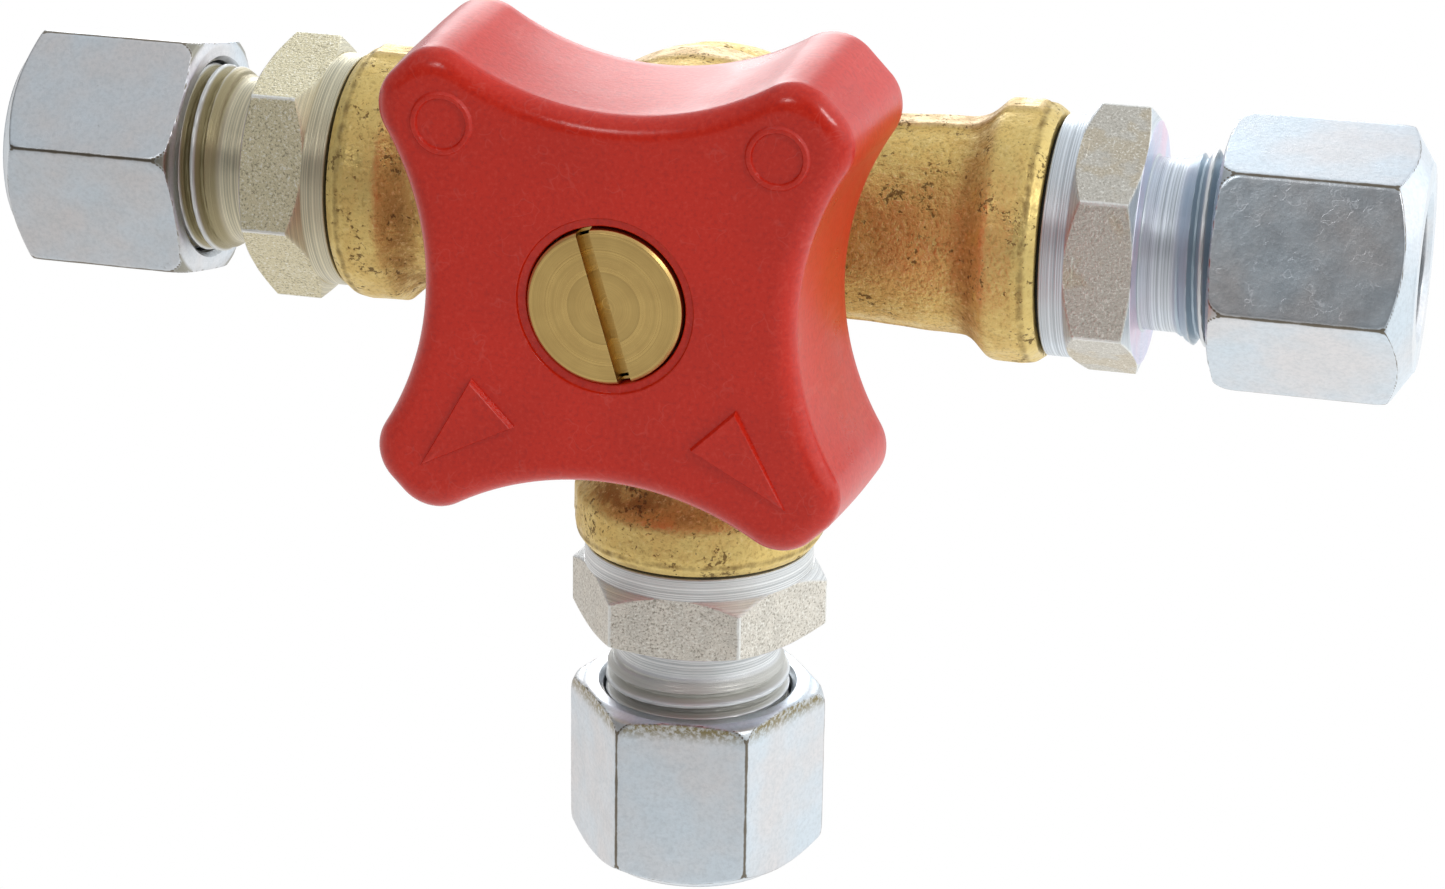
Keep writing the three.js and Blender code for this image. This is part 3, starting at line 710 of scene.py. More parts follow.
def coupling_shell(side, corner_angle, settings):
    """The coupling: stud, flange, hexagon with coned ends, undercut shank, thread, coned mouth."""
    flats, corner_round = in_mm(settings.across_flats), in_mm(settings.coupling_corner)
    shank, crest = in_mm(settings.shank), in_mm(settings.thread_radius)
    corner = math.radians(corner_angle)
    angle = crowded_angles(corner, 6, 36, 0.6)
    rings = Rings(angle, "flat", "chamfer", "thread", "wear")
    rings.path(rounded_path([(23.25, WATERWAY), (23.25, 8.0, 0.3), (24.0, 8.3), (31.5, 8.3),
                             (31.5, 7.7), (33.8, 7.7)], 0.8))
    flange = rounded_path([(33.8, 7.8), (33.8, 11.1, 0.14), (HEX_START, 11.1)], 0.2)
    rings.path(flange[1:])
    hexagon = hexagon_radius(angle, corner, flats, corner_round)
    along = np.concatenate([np.linspace(HEX_START, 37.4, 16), np.linspace(37.5, 40.9, 14),
                            np.linspace(41.0, HEX_END - 0.1, 16)])[:, None]
    inner = 11.12 + (along - 36.0) / 0.72
    outer = 10.9 + (HEX_END - along) / 0.38
    radius = soft_min(soft_min(hexagon, inner, 0.16), outer, 0.14)
    step = np.where(along < 36.78, 11.1, 7.0)
    radius = soft_max(radius, step + 0 * radius, 0.02)
    flat = smooth_step(0.02, 0.12, inner - hexagon) * smooth_step(0.0, 0.1, outer - hexagon)
    # the wear value here is a thin line along each corner and at each flat's end, where the finish
    # paints a highlight
    near = from_corner(angle, corner) * HEX_CORNER
    wear = np.exp(-(near / 0.24) ** 2) * flat
    wear = np.maximum(wear, np.exp(-((outer - hexagon) / 0.22) ** 2) * 0.8)
    rings.add(along, radius, flat=flat * (radius > 10.9), wear=wear)
    last, root = radius[-1:], shank + 0.35
    rings.add([HEX_END - 0.03, HEX_END], np.concatenate([last - 0.05, last - 0.14]), chamfer=1.0)
    for t in np.linspace(0, 1, 9)[1:]:
        rings.add([HEX_END], last * (1 - t) + root * t, chamfer=1.0)
    undercut = rounded_path([(HEX_END, root), (HEX_END, shank, 0.25), (45.2, shank)], 0.25)
    rings.path(undercut[1:])
    # the threads that show are cut finer than those inside the nut
    along = np.concatenate([np.arange(45.25, 50.4, 0.06), np.arange(50.4, 57.2, 0.19)])[:, None]
    helix = thread_radius(along, angle, SIDE_HAND[side], SIDE_FRONT[side], settings)
    lead = shank + np.clip(along - THREAD_START, 0, None) * 0.62
    radius = soft_max(np.minimum(helix, lead), shank + 0 * helix, 0.08)
    end = crest - np.clip(along - 57.0, 0, None)
    # the crests carry the wear value, on which the finish paints a highlight
    crests = smooth_step(crest - 0.3, crest - 0.05, radius)
    rings.add(along, np.minimum(radius, end), wear=crests,
              thread=smooth_step(THREAD_START, THREAD_START + 0.6, along))
    mouth = rounded_path([(57.3, 8.2), (58.0, 8.0, 0.15), (58.0, 7.15), (53.0, 6.1), (51.0, 6.1),
                          (51.0, WATERWAY), (23.25, WATERWAY)], 1.0)
    rings.path(mouth[:-1])
    return rings.shell(side)


def nut_shell(side, corner_angle, settings, seed):
    """The union nut: a hexagon with soft corners, coned at both ends, open through its middle."""
    flats, corner_round = in_mm(settings.across_flats), in_mm(settings.nut_corner)
    corner = math.radians(corner_angle)
    angle = crowded_angles(corner, 6, 38, 0.5)
    along = np.concatenate([np.linspace(NUT_START, NUT_START + 3.4, 44)[2:],
                            np.linspace(NUT_START + 3.6, NUT_END - 4.6, 22),
                            np.linspace(NUT_END - 4.5, NUT_END, 56)[:-2]])[:, None]
    hexagon = hexagon_radius(angle, corner, flats, corner_round)
    # near both ends a barrel cuts the corners, so that each flat is a panel with round corners
    panel = 2.3
    near_end = np.minimum(along - NUT_START - 0.15, NUT_END - 1.1 - along)
    bend = panel - np.clip(near_end, 0.0, panel)
    across = flats / 2 * math.tan(np.pi / 6) - panel + np.sqrt(panel ** 2 - bend ** 2)
    barrel = np.hypot(flats / 2, across)
    inner = np.minimum(10.5 + (along - NUT_START) * 4.0, barrel + 0.02)
    outer = np.minimum(9.3 + (NUT_END - along) / 0.65, barrel + 0.02)
    radius = soft_min(soft_min(hexagon, inner, 0.16), outer, 0.2)
    place = fitting_place(side, along, angle, radius)
    radius = radius + 0.02 * lumps(place, 6.0, seed) + 0.012 * lumps(place, 1.6, seed + 1)
    limit = np.minimum(inner, outer)
    flat = smooth_step(0.0, 0.12, limit - hexagon)
    edge = np.exp(-((limit - hexagon + 0.01) / 0.07) ** 2)
    corner_line = np.exp(-(from_corner(angle, corner) * HEX_CORNER / 0.2) ** 2)
    edge = np.maximum(edge, corner_line * (limit > hexagon))
    facet = smooth_step(0.03, 0.1, hexagon - limit) * smooth_step(11.4, 11.7, limit)
    rings = Rings(angle, "flat", "wear", "facet")
    rings.add(along, radius, flat=flat, wear=edge, facet=facet * (along < 58.0))
    rim, mouth, socket = radius[-1:], 7.0, 9.8
    for t in np.linspace(0, 1, 5)[1:]:
        rings.add([NUT_END - 0.1 * (1 - t) ** 2], rim - 0.3 * t)
    for t in np.linspace(0, 1, 9)[1:]:
        rings.add([NUT_END], (rim - 0.3) * (1 - t) + mouth * t)
    bore = rounded_path([(NUT_END, mouth), (NUT_END, 6.85, 0.1), (NUT_END - 0.5, 6.3, 0.2),
                         (63.6, 6.3), (60.4, 9.3), (NUT_START + 0.45, 9.3), (NUT_START, 9.75),
                         (NUT_START, socket)], 0.9)
    rings.path(bore[1:])
    for t in (0.35, 0.7, 0.9):
        rings.add([NUT_START + 0.02 * t], socket * (1 - t) + (radius[:1] - 0.1) * t)
    return rings.shell(side)


def turned_ring(side, corners):
    """A ring turned about a port's axis from a closed outline."""
    path = rounded_path(corners + [corners[0]], 0.3)[:-1]
    along, radius = path[:, :1], path[:, 1:]
    points = fitting_place(side, along, round_angles(144), radius)
    return Shell(points, loop=True, masks={"along": along, "out": radius})


# ---- shader helpers ---------------------------------------------------------------------------

def put(tree, kind, inputs=None, **settings):
    """Adds a node, sets it up, and feeds each input from another socket or a plain value."""
    node = tree.nodes.new(kind)
    for key, value in settings.items():
        setattr(node, key, value)
    for key, value in (inputs or {}).items():
        if isinstance(value, bpy.types.NodeSocket):
            tree.links.new(value, node.inputs[key])
        else:
            node.inputs[key].default_value = value
    return node


def calc(tree, operation, a, b=0.0, clamp=False):
    """One Math node."""
    node = put(tree, "ShaderNodeMath", {0: a, 1: b}, operation=operation, use_clamp=clamp)
    return node.outputs[0]


def times(tree, a, b, clamp=False):
    """One value by another."""
    return calc(tree, "MULTIPLY", a, b, clamp)


def plus(tree, a, b):
    """The sum of two values."""
    return calc(tree, "ADD", a, b)


def minus(tree, a, b):
    """The first value less the second."""
    return calc(tree, "SUBTRACT", a, b)


def noise(tree, vector, scale, detail=3.0, rough=0.5, bent=0.0):
    """A three-way noise value."""
    node = put(tree, "ShaderNodeTexNoise", {"Vector": vector, "Scale": scale, "Detail": detail,
                                            "Roughness": rough, "Distortion": bent})
    return node.outputs["Fac"]


def rescale(tree, value, low, high, to_low=0.0, to_high=1.0):
    """Spreads a value from one range to another with soft ends, clamped."""
    node = put(tree, "ShaderNodeMapRange",
               {"Value": value, "From Min": low, "From Max": high, "To Min": to_low,
                "To Max": to_high}, interpolation_type="SMOOTHSTEP")
    return node.outputs[0]


def tint(tree, share, a, b, mode="MIX"):
    """Mixes two colours, given as sockets or as three numbers."""
    a, b = (value if isinstance(value, bpy.types.NodeSocket) else (*value, 1.0)
            for value in (a, b))
    node = put(tree, "ShaderNodeMix", {0: share, 6: a, 7: b}, data_type="RGBA", blend_type=mode)
    return node.outputs[2]


def mask(tree, name):
    """One of the values a piece carries at its corners."""
    return put(tree, "ShaderNodeAttribute", attribute_name=name).outputs["Fac"]


def new_group(name, inputs, outputs):
    """An empty node group with named sockets; returns the tree, its inputs and its output node."""
    tree = bpy.data.node_groups.new(name, "ShaderNodeTree")
    for label, kind, value in inputs:
        socket = tree.interface.new_socket(name=label, in_out="INPUT", socket_type=kind)
        if value is not None:
            socket.default_value = value
    for label, kind in outputs:
        tree.interface.new_socket(name=label, in_out="OUTPUT", socket_type=kind)
    source = tree.nodes.new("NodeGroupInput")
    sink = tree.nodes.new("NodeGroupOutput")
    return tree, source.outputs, sink


def placed(tree, group, inputs):
    """Places a shared group in a material with that material's own values."""
    return put(tree, "ShaderNodeGroup", inputs, node_tree=group).outputs


FLOAT, VECTOR = "NodeSocketFloat", "NodeSocketVector"


def mottle_group():
    """Broad and middling cloudiness, from 0 to 1."""
    tree, given, sink = new_group(
        "Mottle", [("Vector", VECTOR, None), ("Scale", FLOAT, 100.0)], [("Value", FLOAT)])
    broad = noise(tree, given["Vector"], given["Scale"], 4.0, 0.55)
    tree.links.new(rescale(tree, broad, 0.32, 0.68), sink.inputs["Value"])
    return tree


def pits_group():
    """Small pits and specks, thicker in some places than in others."""
    tree, given, sink = new_group(
        "Pits", [("Vector", VECTOR, None), ("Scale", FLOAT, 1200.0), ("Cover", FLOAT, 0.5)],
        [("Mask", FLOAT)])
    broad = noise(tree, given["Vector"], times(tree, given["Scale"], 0.16), 2.0)
    fine = noise(tree, given["Vector"], given["Scale"], 3.0, 0.6, 0.4)
    both = plus(tree, times(tree, broad, 0.45), times(tree, fine, 0.55))
    edge = minus(tree, 0.78, times(tree, given["Cover"], 0.36))
    tree.links.new(rescale(tree, minus(tree, both, edge), 0.0, 0.05), sink.inputs["Mask"])
    return tree


def scratches_group():
    """Short fine scratches in two leanings: narrow bands of a stretched noise."""
    tree, given, sink = new_group(
        "Scratches", [("Vector", VECTOR, None), ("Scale", FLOAT, 400.0)], [("Mask", FLOAT)])
    found = None
    for turn in ((0.4, 0.9, 0.2), (-0.7, 0.3, 1.1)):
        spun = put(tree, "ShaderNodeMapping", {"Vector": given["Vector"], "Rotation": turn,
                                               "Scale": (1.0, 0.07, 1.0)}).outputs[0]
        level = noise(tree, spun, given["Scale"], 2.0, 0.5)
        away = calc(tree, "ABSOLUTE", minus(tree, level, 0.5))
        line = rescale(tree, away, 0.0, 0.012, 1.0, 0.0)
        found = line if found is None else calc(tree, "MAXIMUM", found, line)
    spread = noise(tree, given["Vector"], times(tree, given["Scale"], 1.2), 2.0)
    found = times(tree, found, rescale(tree, spread, 0.52, 0.6))
    tree.links.new(found, sink.inputs["Mask"])
    return tree


def turning_group():
    """Fine lines left by a lathe: a one-way noise of the distance along and out from the axis."""
    tree, given, sink = new_group(
        "Turning lines", [("Along", FLOAT, 0.0), ("Out", FLOAT, 0.0), ("Density", FLOAT, 6.0)],
        [("Value", FLOAT)])
    way = plus(tree, given["Along"], given["Out"])
    fine = put(tree, "ShaderNodeTexNoise", {"W": way, "Scale": given["Density"],
                                            "Detail": 4.0, "Roughness": 0.7},
               noise_dimensions="1D").outputs["Fac"]
    tree.links.new(rescale(tree, fine, 0.3, 0.7), sink.inputs["Value"])
    return tree


def ragged_edge_group():
    """A piece's edge value nibbled at by noise: dirt on the brass, wear on the nuts, a painted
    highlight on the couplings.
    """
    tree, given, sink = new_group(
        "Edge wear", [("Edge", FLOAT, 0.0), ("Vector", VECTOR, None), ("Scale", FLOAT, 600.0),
                      ("Amount", FLOAT, 1.0)], [("Mask", FLOAT)])
    ragged = noise(tree, given["Vector"], given["Scale"], 3.0, 0.6)
    lifted = times(tree, given["Edge"], plus(tree, ragged, 0.35))
    worn = rescale(tree, lifted, 0.3, 0.65)
    tree.links.new(times(tree, worn, given["Amount"], True), sink.inputs["Mask"])
    return tree


def shared(maker):
    """A shared group, built the first time it is asked for."""
    key = maker.__name__
    for group in bpy.data.node_groups:
        if group.get("maker") == key:
            return group
    group = maker()
    group["maker"] = key
    return group


def mottle(tree, where, scale):
    """Shared cloudiness of one size."""
    return placed(tree, shared(mottle_group), {"Vector": where, "Scale": scale})["Value"]


def pitted(tree, where, scale, cover):
    """Shared pits of one size and cover."""
    given = {"Vector": where, "Scale": scale, "Cover": cover}
    return placed(tree, shared(pits_group), given)["Mask"]


def scratched(tree, where, scale):
    """Shared scratches of one size."""
    return placed(tree, shared(scratches_group), {"Vector": where, "Scale": scale})["Mask"]


def turning(tree, along, out, density):
    """Shared turning lines of one density."""
    given = {"Along": along, "Out": out, "Density": density}
    return placed(tree, shared(turning_group), given)["Value"]


def ragged_edge(tree, edge, where, scale):
    """Shared ragged edge: dirt on the brass, wear on the nuts, a painted highlight on the
    couplings.
    """
    given = {"Edge": edge, "Vector": where, "Scale": scale, "Amount": 0.9}
    return placed(tree, shared(ragged_edge_group), given)["Mask"]


def stain(tree, cover, share, colour, *display):
    """Lays a share of a colour in display values over another colour, where cover is."""
    return tint(tree, times(tree, cover, share), colour, paint(*display))


def on_left(tree, tone, left, other):
    """One value on the left fitting, whose tone is a half, and another on the other two."""
    away = calc(tree, "ABSOLUTE", minus(tree, tone, 0.5))
    return rescale(tree, away, 0.1, 0.4, left, other)


def new_material(name, **plain):
    """A material with one Principled shader; plain values are set on its own sockets."""
    material = bpy.data.materials.new(name)
    material.use_nodes = True
    tree = material.node_tree
    shader = tree.nodes["Principled BSDF"]
    for key, value in plain.items():
        shader.inputs[key.replace("_", " ")].default_value = value
    where = put(tree, "ShaderNodeTexCoord").outputs["Object"]
    return material, tree, shader, where


def join(tree, shader, **sockets):
    """Links values to the shader's sockets; an underscore stands for a space."""
    for key, value in sockets.items():
        tree.links.new(value, shader.inputs[key.replace("_", " ")])


def bump(tree, height, distance, strength=1.0, normal=None):
    """A Bump node; distance is in metres."""
    given = {"Height": height, "Distance": distance, "Strength": strength}
    if normal is not None:
        given["Normal"] = normal
    return put(tree, "ShaderNodeBump", given).outputs["Normal"]


# ---- finishes ---------------------------------------------------------------------------------

def forged_brass(settings):
    """Forged brass: golden skin, brown oxide, dark pits, bright machined ends, painted shade in
    the shoulders.
    """
    material, tree, shader, where = new_material("forged brass")
    clean, oxide = tuple(settings.colour), tuple(settings.oxide)
    machined, crevice_shade, land = mask(tree, "machined"), mask(tree, "crevice_shade"), mask(tree, "land")
    rim = mask(tree, "rim")
    broad = mottle(tree, where, 130.0)
    middle = mottle(tree, where, 520.0)
    pits = pitted(tree, where, 2100.0, 0.56)
    spots = pitted(tree, where, 700.0, 0.3)
    patch = plus(tree, times(tree, broad, 0.65), times(tree, middle, 0.35))
    patch = rescale(tree, patch, 0.42, 0.85)
    branch = mask(tree, "tone")
    darker = tuple(0.84 * c for c in clean)
    colour = tint(tree, middle, darker, clean)
    colour = tint(tree, times(tree, patch, 0.3), colour, oxide)
    # painted shade, with a little oxide, in the concave foot of each shoulder: a darker brown,
    # twice as strong on the branch
    groove = times(tree, crevice_shade, rescale(tree, middle, 0.0, 0.7, 0.2, 0.55))
    groove = times(tree, groove, plus(tree, branch, 1.0), True)
    colour = tint(tree, groove, colour, paint(164, 122, 64))
    colour = stain(tree, land, 0.75, colour, 228, 198, 158)
    colour = stain(tree, machined, 0.8, colour, 232, 206, 132)
    sand = noise(tree, where, 2600.0, 3.0, 0.65)
    skin = minus(tree, 1.0, times(tree, machined, 0.6))
    low = times(tree, rescale(tree, sand, 0.48, 0.36, 0.0, 0.5), skin)
    high = times(tree, rescale(tree, sand, 0.56, 0.68, 0.0, 0.6), skin)
    colour = tint(tree, low, colour, paint(150, 116, 58))
    colour = tint(tree, high, colour, paint(244, 220, 158))
    dirty = calc(tree, "MAXIMUM", pits, spots)
    edge_dirt = ragged_edge(tree, times(tree, rim, 0.6), where, 900.0)
    dirty = calc(tree, "MAXIMUM", dirty, edge_dirt)
    colour = stain(tree, dirty, 0.7, colour, 92, 64, 34)
    rough = rescale(tree, middle, 0.0, 1.0, settings.roughness - 0.08, settings.roughness + 0.1)
    rough = plus(tree, rough, times(tree, dirty, 0.22))
    rough = plus(tree, rough, times(tree, groove, 0.4))
    rough = minus(tree, rough, times(tree, machined, 0.06))
    sandy = times(tree, sand, minus(tree, 1.0, machined))
    normal = bump(tree, sandy, 0.00014, 0.9)
    normal = bump(tree, noise(tree, where, 800.0, 3.0), 0.00022, 0.7, normal)
    normal = bump(tree, minus(tree, 1.0, dirty), 0.00007, 0.8, normal)
    metal = minus(tree, 0.72, times(tree, groove, 0.55))
    join(tree, shader, Base_Color=colour, Roughness=rough, Normal=normal, Metallic=metal)
    return material


def turned_brass(name, colour, concentric):
    """Lathe-turned brass with fine rings about the plug axis."""
    material, tree, shader, where = new_material(name, Metallic=1.0)
    parts = put(tree, "ShaderNodeSeparateXYZ", {"Vector": where}).outputs
    reach = calc(tree, "SQRT", plus(tree, times(tree, parts["X"], parts["X"]),
                                    times(tree, parts["Z"], parts["Z"])))
    along = parts["Y"] if not concentric else times(tree, parts["Y"], 0.1)
    lines = turning(tree, along, reach, 4200.0)
    coarse = turning(tree, along, reach, 900.0)
    cloud = mottle(tree, where, 300.0)
    shade = plus(tree, times(tree, lines, 0.5), times(tree, coarse, 0.5))
    dark = tuple(0.72 * c for c in colour)
    base = tint(tree, shade, dark, colour)
    base = stain(tree, cloud, 0.25, base, 176, 140, 84)
    rough = rescale(tree, shade, 0.0, 1.0, 0.36, 0.26)
    normal = bump(tree, shade, 0.00002, 0.7)
    join(tree, shader, Base_Color=base, Roughness=rough, Normal=normal)
    return material


def zinc_nut(settings):
    """Passivated zinc: blue-white with violet and pink tints, scuffs, and dark worn edges."""
    material, tree, shader, where = new_material("passivated zinc", Metallic=1.0)
    zinc = tuple(settings.zinc)
    flat, wear = mask(tree, "flat"), mask(tree, "wear")
    along, out = mask(tree, "along"), mask(tree, "out")
    broad = mottle(tree, where, 110.0)
    middle = mottle(tree, where, 420.0)
    colour = tint(tree, broad, zinc, paint(220, 217, 217))
    colour = stain(tree, middle, 0.14, colour, 200, 208, 212)
    grain = noise(tree, where, 2400.0, 3.0, 0.65)
    colour = tint(tree, rescale(tree, grain, 0.35, 0.75, 0.0, 0.3), colour, paint(170, 176, 180))
    scuffs = times(tree, scratched(tree, where, 420.0), flat)
    colour = stain(tree, scuffs, 0.14, colour, 244, 246, 250)
    pits = pitted(tree, where, 1900.0, 0.3)
    colour = stain(tree, pits, 0.3, colour, 122, 118, 108)
    edge = ragged_edge(tree, wear, where, 700.0)
    colour = tint(tree, edge, colour, paint(104, 92, 72))
    tone, facet = mask(tree, "tone"), mask(tree, "facet")
    stained = on_left(tree, tone, 0.8, 0.25)
    colour = tint(tree, times(tree, facet, stained), colour, paint(128, 122, 100))
    branch = rescale(tree, tone, 0.1, 0.3, 1.0, 0.0)
    near_top = times(tree, rescale(tree, along, 49.4, 51.0, 1.0, 0.0), flat)
    near_top = times(tree, near_top, rescale(tree, grain, 0.35, 0.6, 0.3, 1.0), True)
    colour = tint(tree, times(tree, near_top, branch), colour, paint(138, 126, 92))
    lines = turning(tree, along, out, 5.0)
    turned = minus(tree, 1.0, flat)
    rough = rescale(tree, middle, 0.0, 1.0, 0.29, 0.34)
    rough = plus(tree, rough, times(tree, scuffs, 0.12))
    normal = bump(tree, times(tree, lines, turned), 0.000012, 0.6)
    normal = bump(tree, times(tree, grain, flat), 0.00003, 0.55, normal)
    normal = bump(tree, noise(tree, where, 330.0, 2.0), 0.00003, 0.45, normal)
    normal = bump(tree, minus(tree, 1.0, scuffs), 0.000006, 0.7, normal)
    join(tree, shader, Base_Color=colour, Roughness=rough, Normal=normal)
    return material


def plated_coupling(settings):
    """Plated steel coupling: grainy milled flats, finely turned collars, blue-pink coned face."""
    material, tree, shader, where = new_material("plated steel coupling")
    steel = tuple(settings.steel)
    flat, wear = mask(tree, "flat"), mask(tree, "wear")
    chamfer, thread = mask(tree, "chamfer"), mask(tree, "thread")
    along, out = mask(tree, "along"), mask(tree, "out")
    middle = mottle(tree, where, 380.0)
    broad = mottle(tree, where, 120.0)
    lines = turning(tree, along, out, 4.5)
    tone = mask(tree, "tone")
    olive = on_left(tree, tone, 1.0, 0.0)
    grey = rescale(tree, tone, 0.6, 0.9)
    turned = tint(tree, lines, paint(188, 191, 192), paint(248, 249, 248))
    turned = tint(tree, grey, turned, paint(240, 247, 255), "MULTIPLY")
    turned = stain(tree, broad, 0.2, turned, 196, 188, 176)
    turned = tint(tree, olive, turned, paint(240, 230, 200), "MULTIPLY")
    grain = noise(tree, where, 4200.0, 2.0, 0.7)
    milled = tint(tree, middle, tuple(0.86 * c for c in steel), steel)
    milled = stain(tree, olive, 0.8, milled, 224, 214, 176)
    beige = tint(tree, rescale(tree, broad, 0.35, 0.6), paint(206, 196, 176), paint(208, 204, 194))
    milled = tint(tree, times(tree, grey, 0.9), milled, beige)
    milled = tint(tree, rescale(tree, grain, 0.56, 0.66, 0.0, 0.8), milled, paint(246, 244, 236))
    pits = pitted(tree, where, 1900.0, 0.4)
    specks = times(tree, rescale(tree, grain, 0.46, 0.34, 0.0, 0.6),
                  rescale(tree, grey, 0.0, 1.0, 1.0, 0.5))
    milled = tint(tree, specks, milled, paint(120, 112, 96))
    milled = stain(tree, pits, 0.3, milled, 120, 112, 92)
    colour = tint(tree, flat, turned, milled)
    glaze = tint(tree, broad, paint(206, 216, 240), paint(238, 206, 226))
    colour = tint(tree, times(tree, chamfer, 0.85), colour, glaze)
    # painted shade: the thread is coloured darker, as its grooves look in shade, with a painted
    # highlight on its crests
    flank = tint(tree, grey, paint(190, 188, 180), paint(176, 192, 204))
    flank = tint(tree, olive, flank, paint(160, 148, 110))
    flank = tint(tree, wear, flank, paint(226, 228, 228))
    colour = tint(tree, times(tree, thread, 0.9), colour, flank)
    # painted highlight: a bright line, broken up by noise, along the hexagon's corners and flat
    # ends
    edge = ragged_edge(tree, wear, where, 1100.0)
    edge = times(tree, edge, minus(tree, 1.0, thread))
    colour = tint(tree, edge, colour, paint(240, 240, 236))
    rough = tint(tree, flat, (0.3, 0.3, 0.3), (0.48, 0.48, 0.48))
    rough = plus(tree, rough, times(tree, middle, 0.08))
    plain = minus(tree, 1.0, flat)
    normal = bump(tree, times(tree, lines, plain), 0.000022, 0.8)
    normal = bump(tree, times(tree, grain, flat), 0.0001, 1.0, normal)
    metal = rescale(tree, flat, 0.0, 1.0, 0.7, 1.0)
    join(tree, shader, Base_Color=colour, Roughness=rough, Normal=normal, Metallic=metal)
    return material


def red_plastic(settings):
    """Moulded red plastic: even colour, faint flow clouding, fine mould grain, light scuffs."""
    material, tree, shader, where = new_material("red moulded plastic", Metallic=0.0)
    shader.inputs["IOR"].default_value = 1.5
    red = tuple(settings.colour)
    broad = mottle(tree, where, 90.0)
    colour = tint(tree, broad, tuple(0.9 * c for c in red), red)
    grain = noise(tree, where, 2300.0, 3.0, 0.6)
    colour = tint(tree, rescale(tree, grain, 0.52, 0.66, 0.0, 0.22), colour, paint(226, 76, 60))
    colour = tint(tree, rescale(tree, grain, 0.48, 0.36, 0.0, 0.3), colour, paint(168, 20, 14))
    scuffs = scratched(tree, where, 260.0)
    colour = stain(tree, scuffs, 0.08, colour, 240, 140, 130)
    facing = mask(tree, "facing")
    rough = rescale(tree, broad, 0.0, 1.0, settings.roughness - 0.03, settings.roughness + 0.05)
    rough = plus(tree, rough, rescale(tree, facing, 0.0, 0.3, 0.08, 0.0))
    normal = bump(tree, grain, 0.00003, 0.5)
    normal = bump(tree, noise(tree, where, 240.0, 2.0), 0.00012, 0.25, normal)
    join(tree, shader, Base_Color=colour, Roughness=rough, Normal=normal)
    return material


def plain_finish(name, colour, metallic, rough, depth):
    """A simpler worked finish for small and inner pieces: clouded colour and a fine grain."""
    material, tree, shader, where = new_material(name, Metallic=metallic)
    cloud = mottle(tree, where, 350.0)
    base = tint(tree, cloud, tuple(0.78 * c for c in colour), colour)
    grain = noise(tree, where, 1800.0, 3.0, 0.6)
    level = rescale(tree, grain, 0.2, 0.8, rough - 0.05, rough + 0.08)
    normal = bump(tree, grain, depth, 0.6)
    join(tree, shader, Base_Color=base, Roughness=level, Normal=normal)
    return material


def finish(name, maker, *given):
    """One of the scene's materials, made the first time a piece asks for it."""
    found = bpy.data.materials.get(name)
    return found if found is not None else maker(*given)


# colour, metallic, roughness and depth of grain of the simpler finishes
PLAIN = {
    "black rubber": (paint(30, 30, 32), 0.0, 0.6, 0.00004),
    "cutting ring steel": (paint(176, 176, 170), 1.0, 0.38, 0.00002),
    "plain steel": (paint(190, 190, 186), 1.0, 0.34, 0.00002),
    "white plastic": (paint(226, 224, 214), 0.0, 0.45, 0.00003),
}


def plain(name):
    """One of the simpler finishes."""
    return finish(name, plain_finish, name, *PLAIN[name])


# ---- operators --------------------------------------------------------------------------------

class VALVE_OT_body(bpy.types.Operator):
    """Build the forged tee body"""

    bl_idname = "valve.body"
    bl_label = "Forged body"

    def execute(self, context):
        settings = context.scene.valve_body
        shells = [barrel_shell(settings)] + [arm_shell(side, settings) for side in SIDES]
        material = finish("forged brass", forged_brass, settings)
        make_piece("body_forging", shells, "valve", ["valve_body"], material, 50)
        return {"FINISHED"}


class VALVE_OT_handle(bpy.types.Operator):
    """Build the cross handle with its raised marks"""

    bl_idname = "valve.handle"
    bl_label = "Cross handle"

    def execute(self, context):
        settings = context.scene.valve_handle
        shells = [handle_shell(settings)]
        shells += [ring_mark_shell(settings, bearing) for bearing in (45, 135)]
        shells += [arrow_mark_shell(settings, bearing) for bearing in (225, 315)]
        material = finish("red moulded plastic", red_plastic, settings)
        make_piece("cross_handle", shells, "selector", ["handle"], material, 42)
        return {"FINISHED"}


class VALVE_OT_screw(bpy.types.Operator):
    """Build the slotted handle screw"""

    bl_idname = "valve.screw"
    bl_label = "Handle screw"

    def execute(self, context):
        settings = context.scene.valve_handle
        material = turned_brass("screw brass", tuple(settings.screw_colour), True)
        make_piece("slotted_screw", screw_shells(settings), "selector", ["handle_screw"],
                   material, 30)
        return {"FINISHED"}


class VALVE_OT_couplings(bpy.types.Operator):
    """Build the three couplings with their hexagons and threads, and the seals behind them"""

    bl_idname = "valve.couplings"
    bl_label = "Couplings"

    def execute(self, context):
        settings = context.scene.valve_fitting
        material = finish("plated steel coupling", plated_coupling, settings)
        for side in SIDES:
            coupling = coupling_shell(side, COUPLING_TURN[side], settings)
            make_piece("coupling_turned_" + side, [coupling], "valve", ["coupling_" + side],
                       material, 32)
            seal = turned_ring(side, [(33.48, 8.0), (33.48, 10.5, 0.1), (33.76, 10.5, 0.1),
                                      (33.76, 8.0)])
            make_piece("seal_" + side, [seal], "valve", ["port_seal_" + side],
                       plain("black rubber"))
        return {"FINISHED"}


class VALVE_OT_nuts(bpy.types.Operator):
    """Build the three union nuts and the cutting rings inside them"""

    bl_idname = "valve.nuts"
    bl_label = "Union nuts"

    def execute(self, context):
        settings = context.scene.valve_fitting
        material = finish("passivated zinc", zinc_nut, settings)
        for seed, side in enumerate(SIDES, 31):
            nut = nut_shell(side, NUT_TURN[side], settings, seed)
            make_piece("nut_" + side + "_finished", [nut], "nut_" + side, ["union_nut_" + side],
                       material, 38)
            ring = turned_ring(side, [
                (56.0, 6.2), (56.0, 6.4, 0.05), (58.4, 6.95, 0.1), (59.3, 6.65, 0.1),
                (59.3, 7.95, 0.2), (61.6, 7.95, 0.3), (62.95, 6.65, 0.2), (62.95, 6.2)])
            make_piece("sleeve_" + side, [ring], "ring_" + side, ["cutting_ring_" + side],
                       plain("cutting ring steel"))
        return {"FINISHED"}


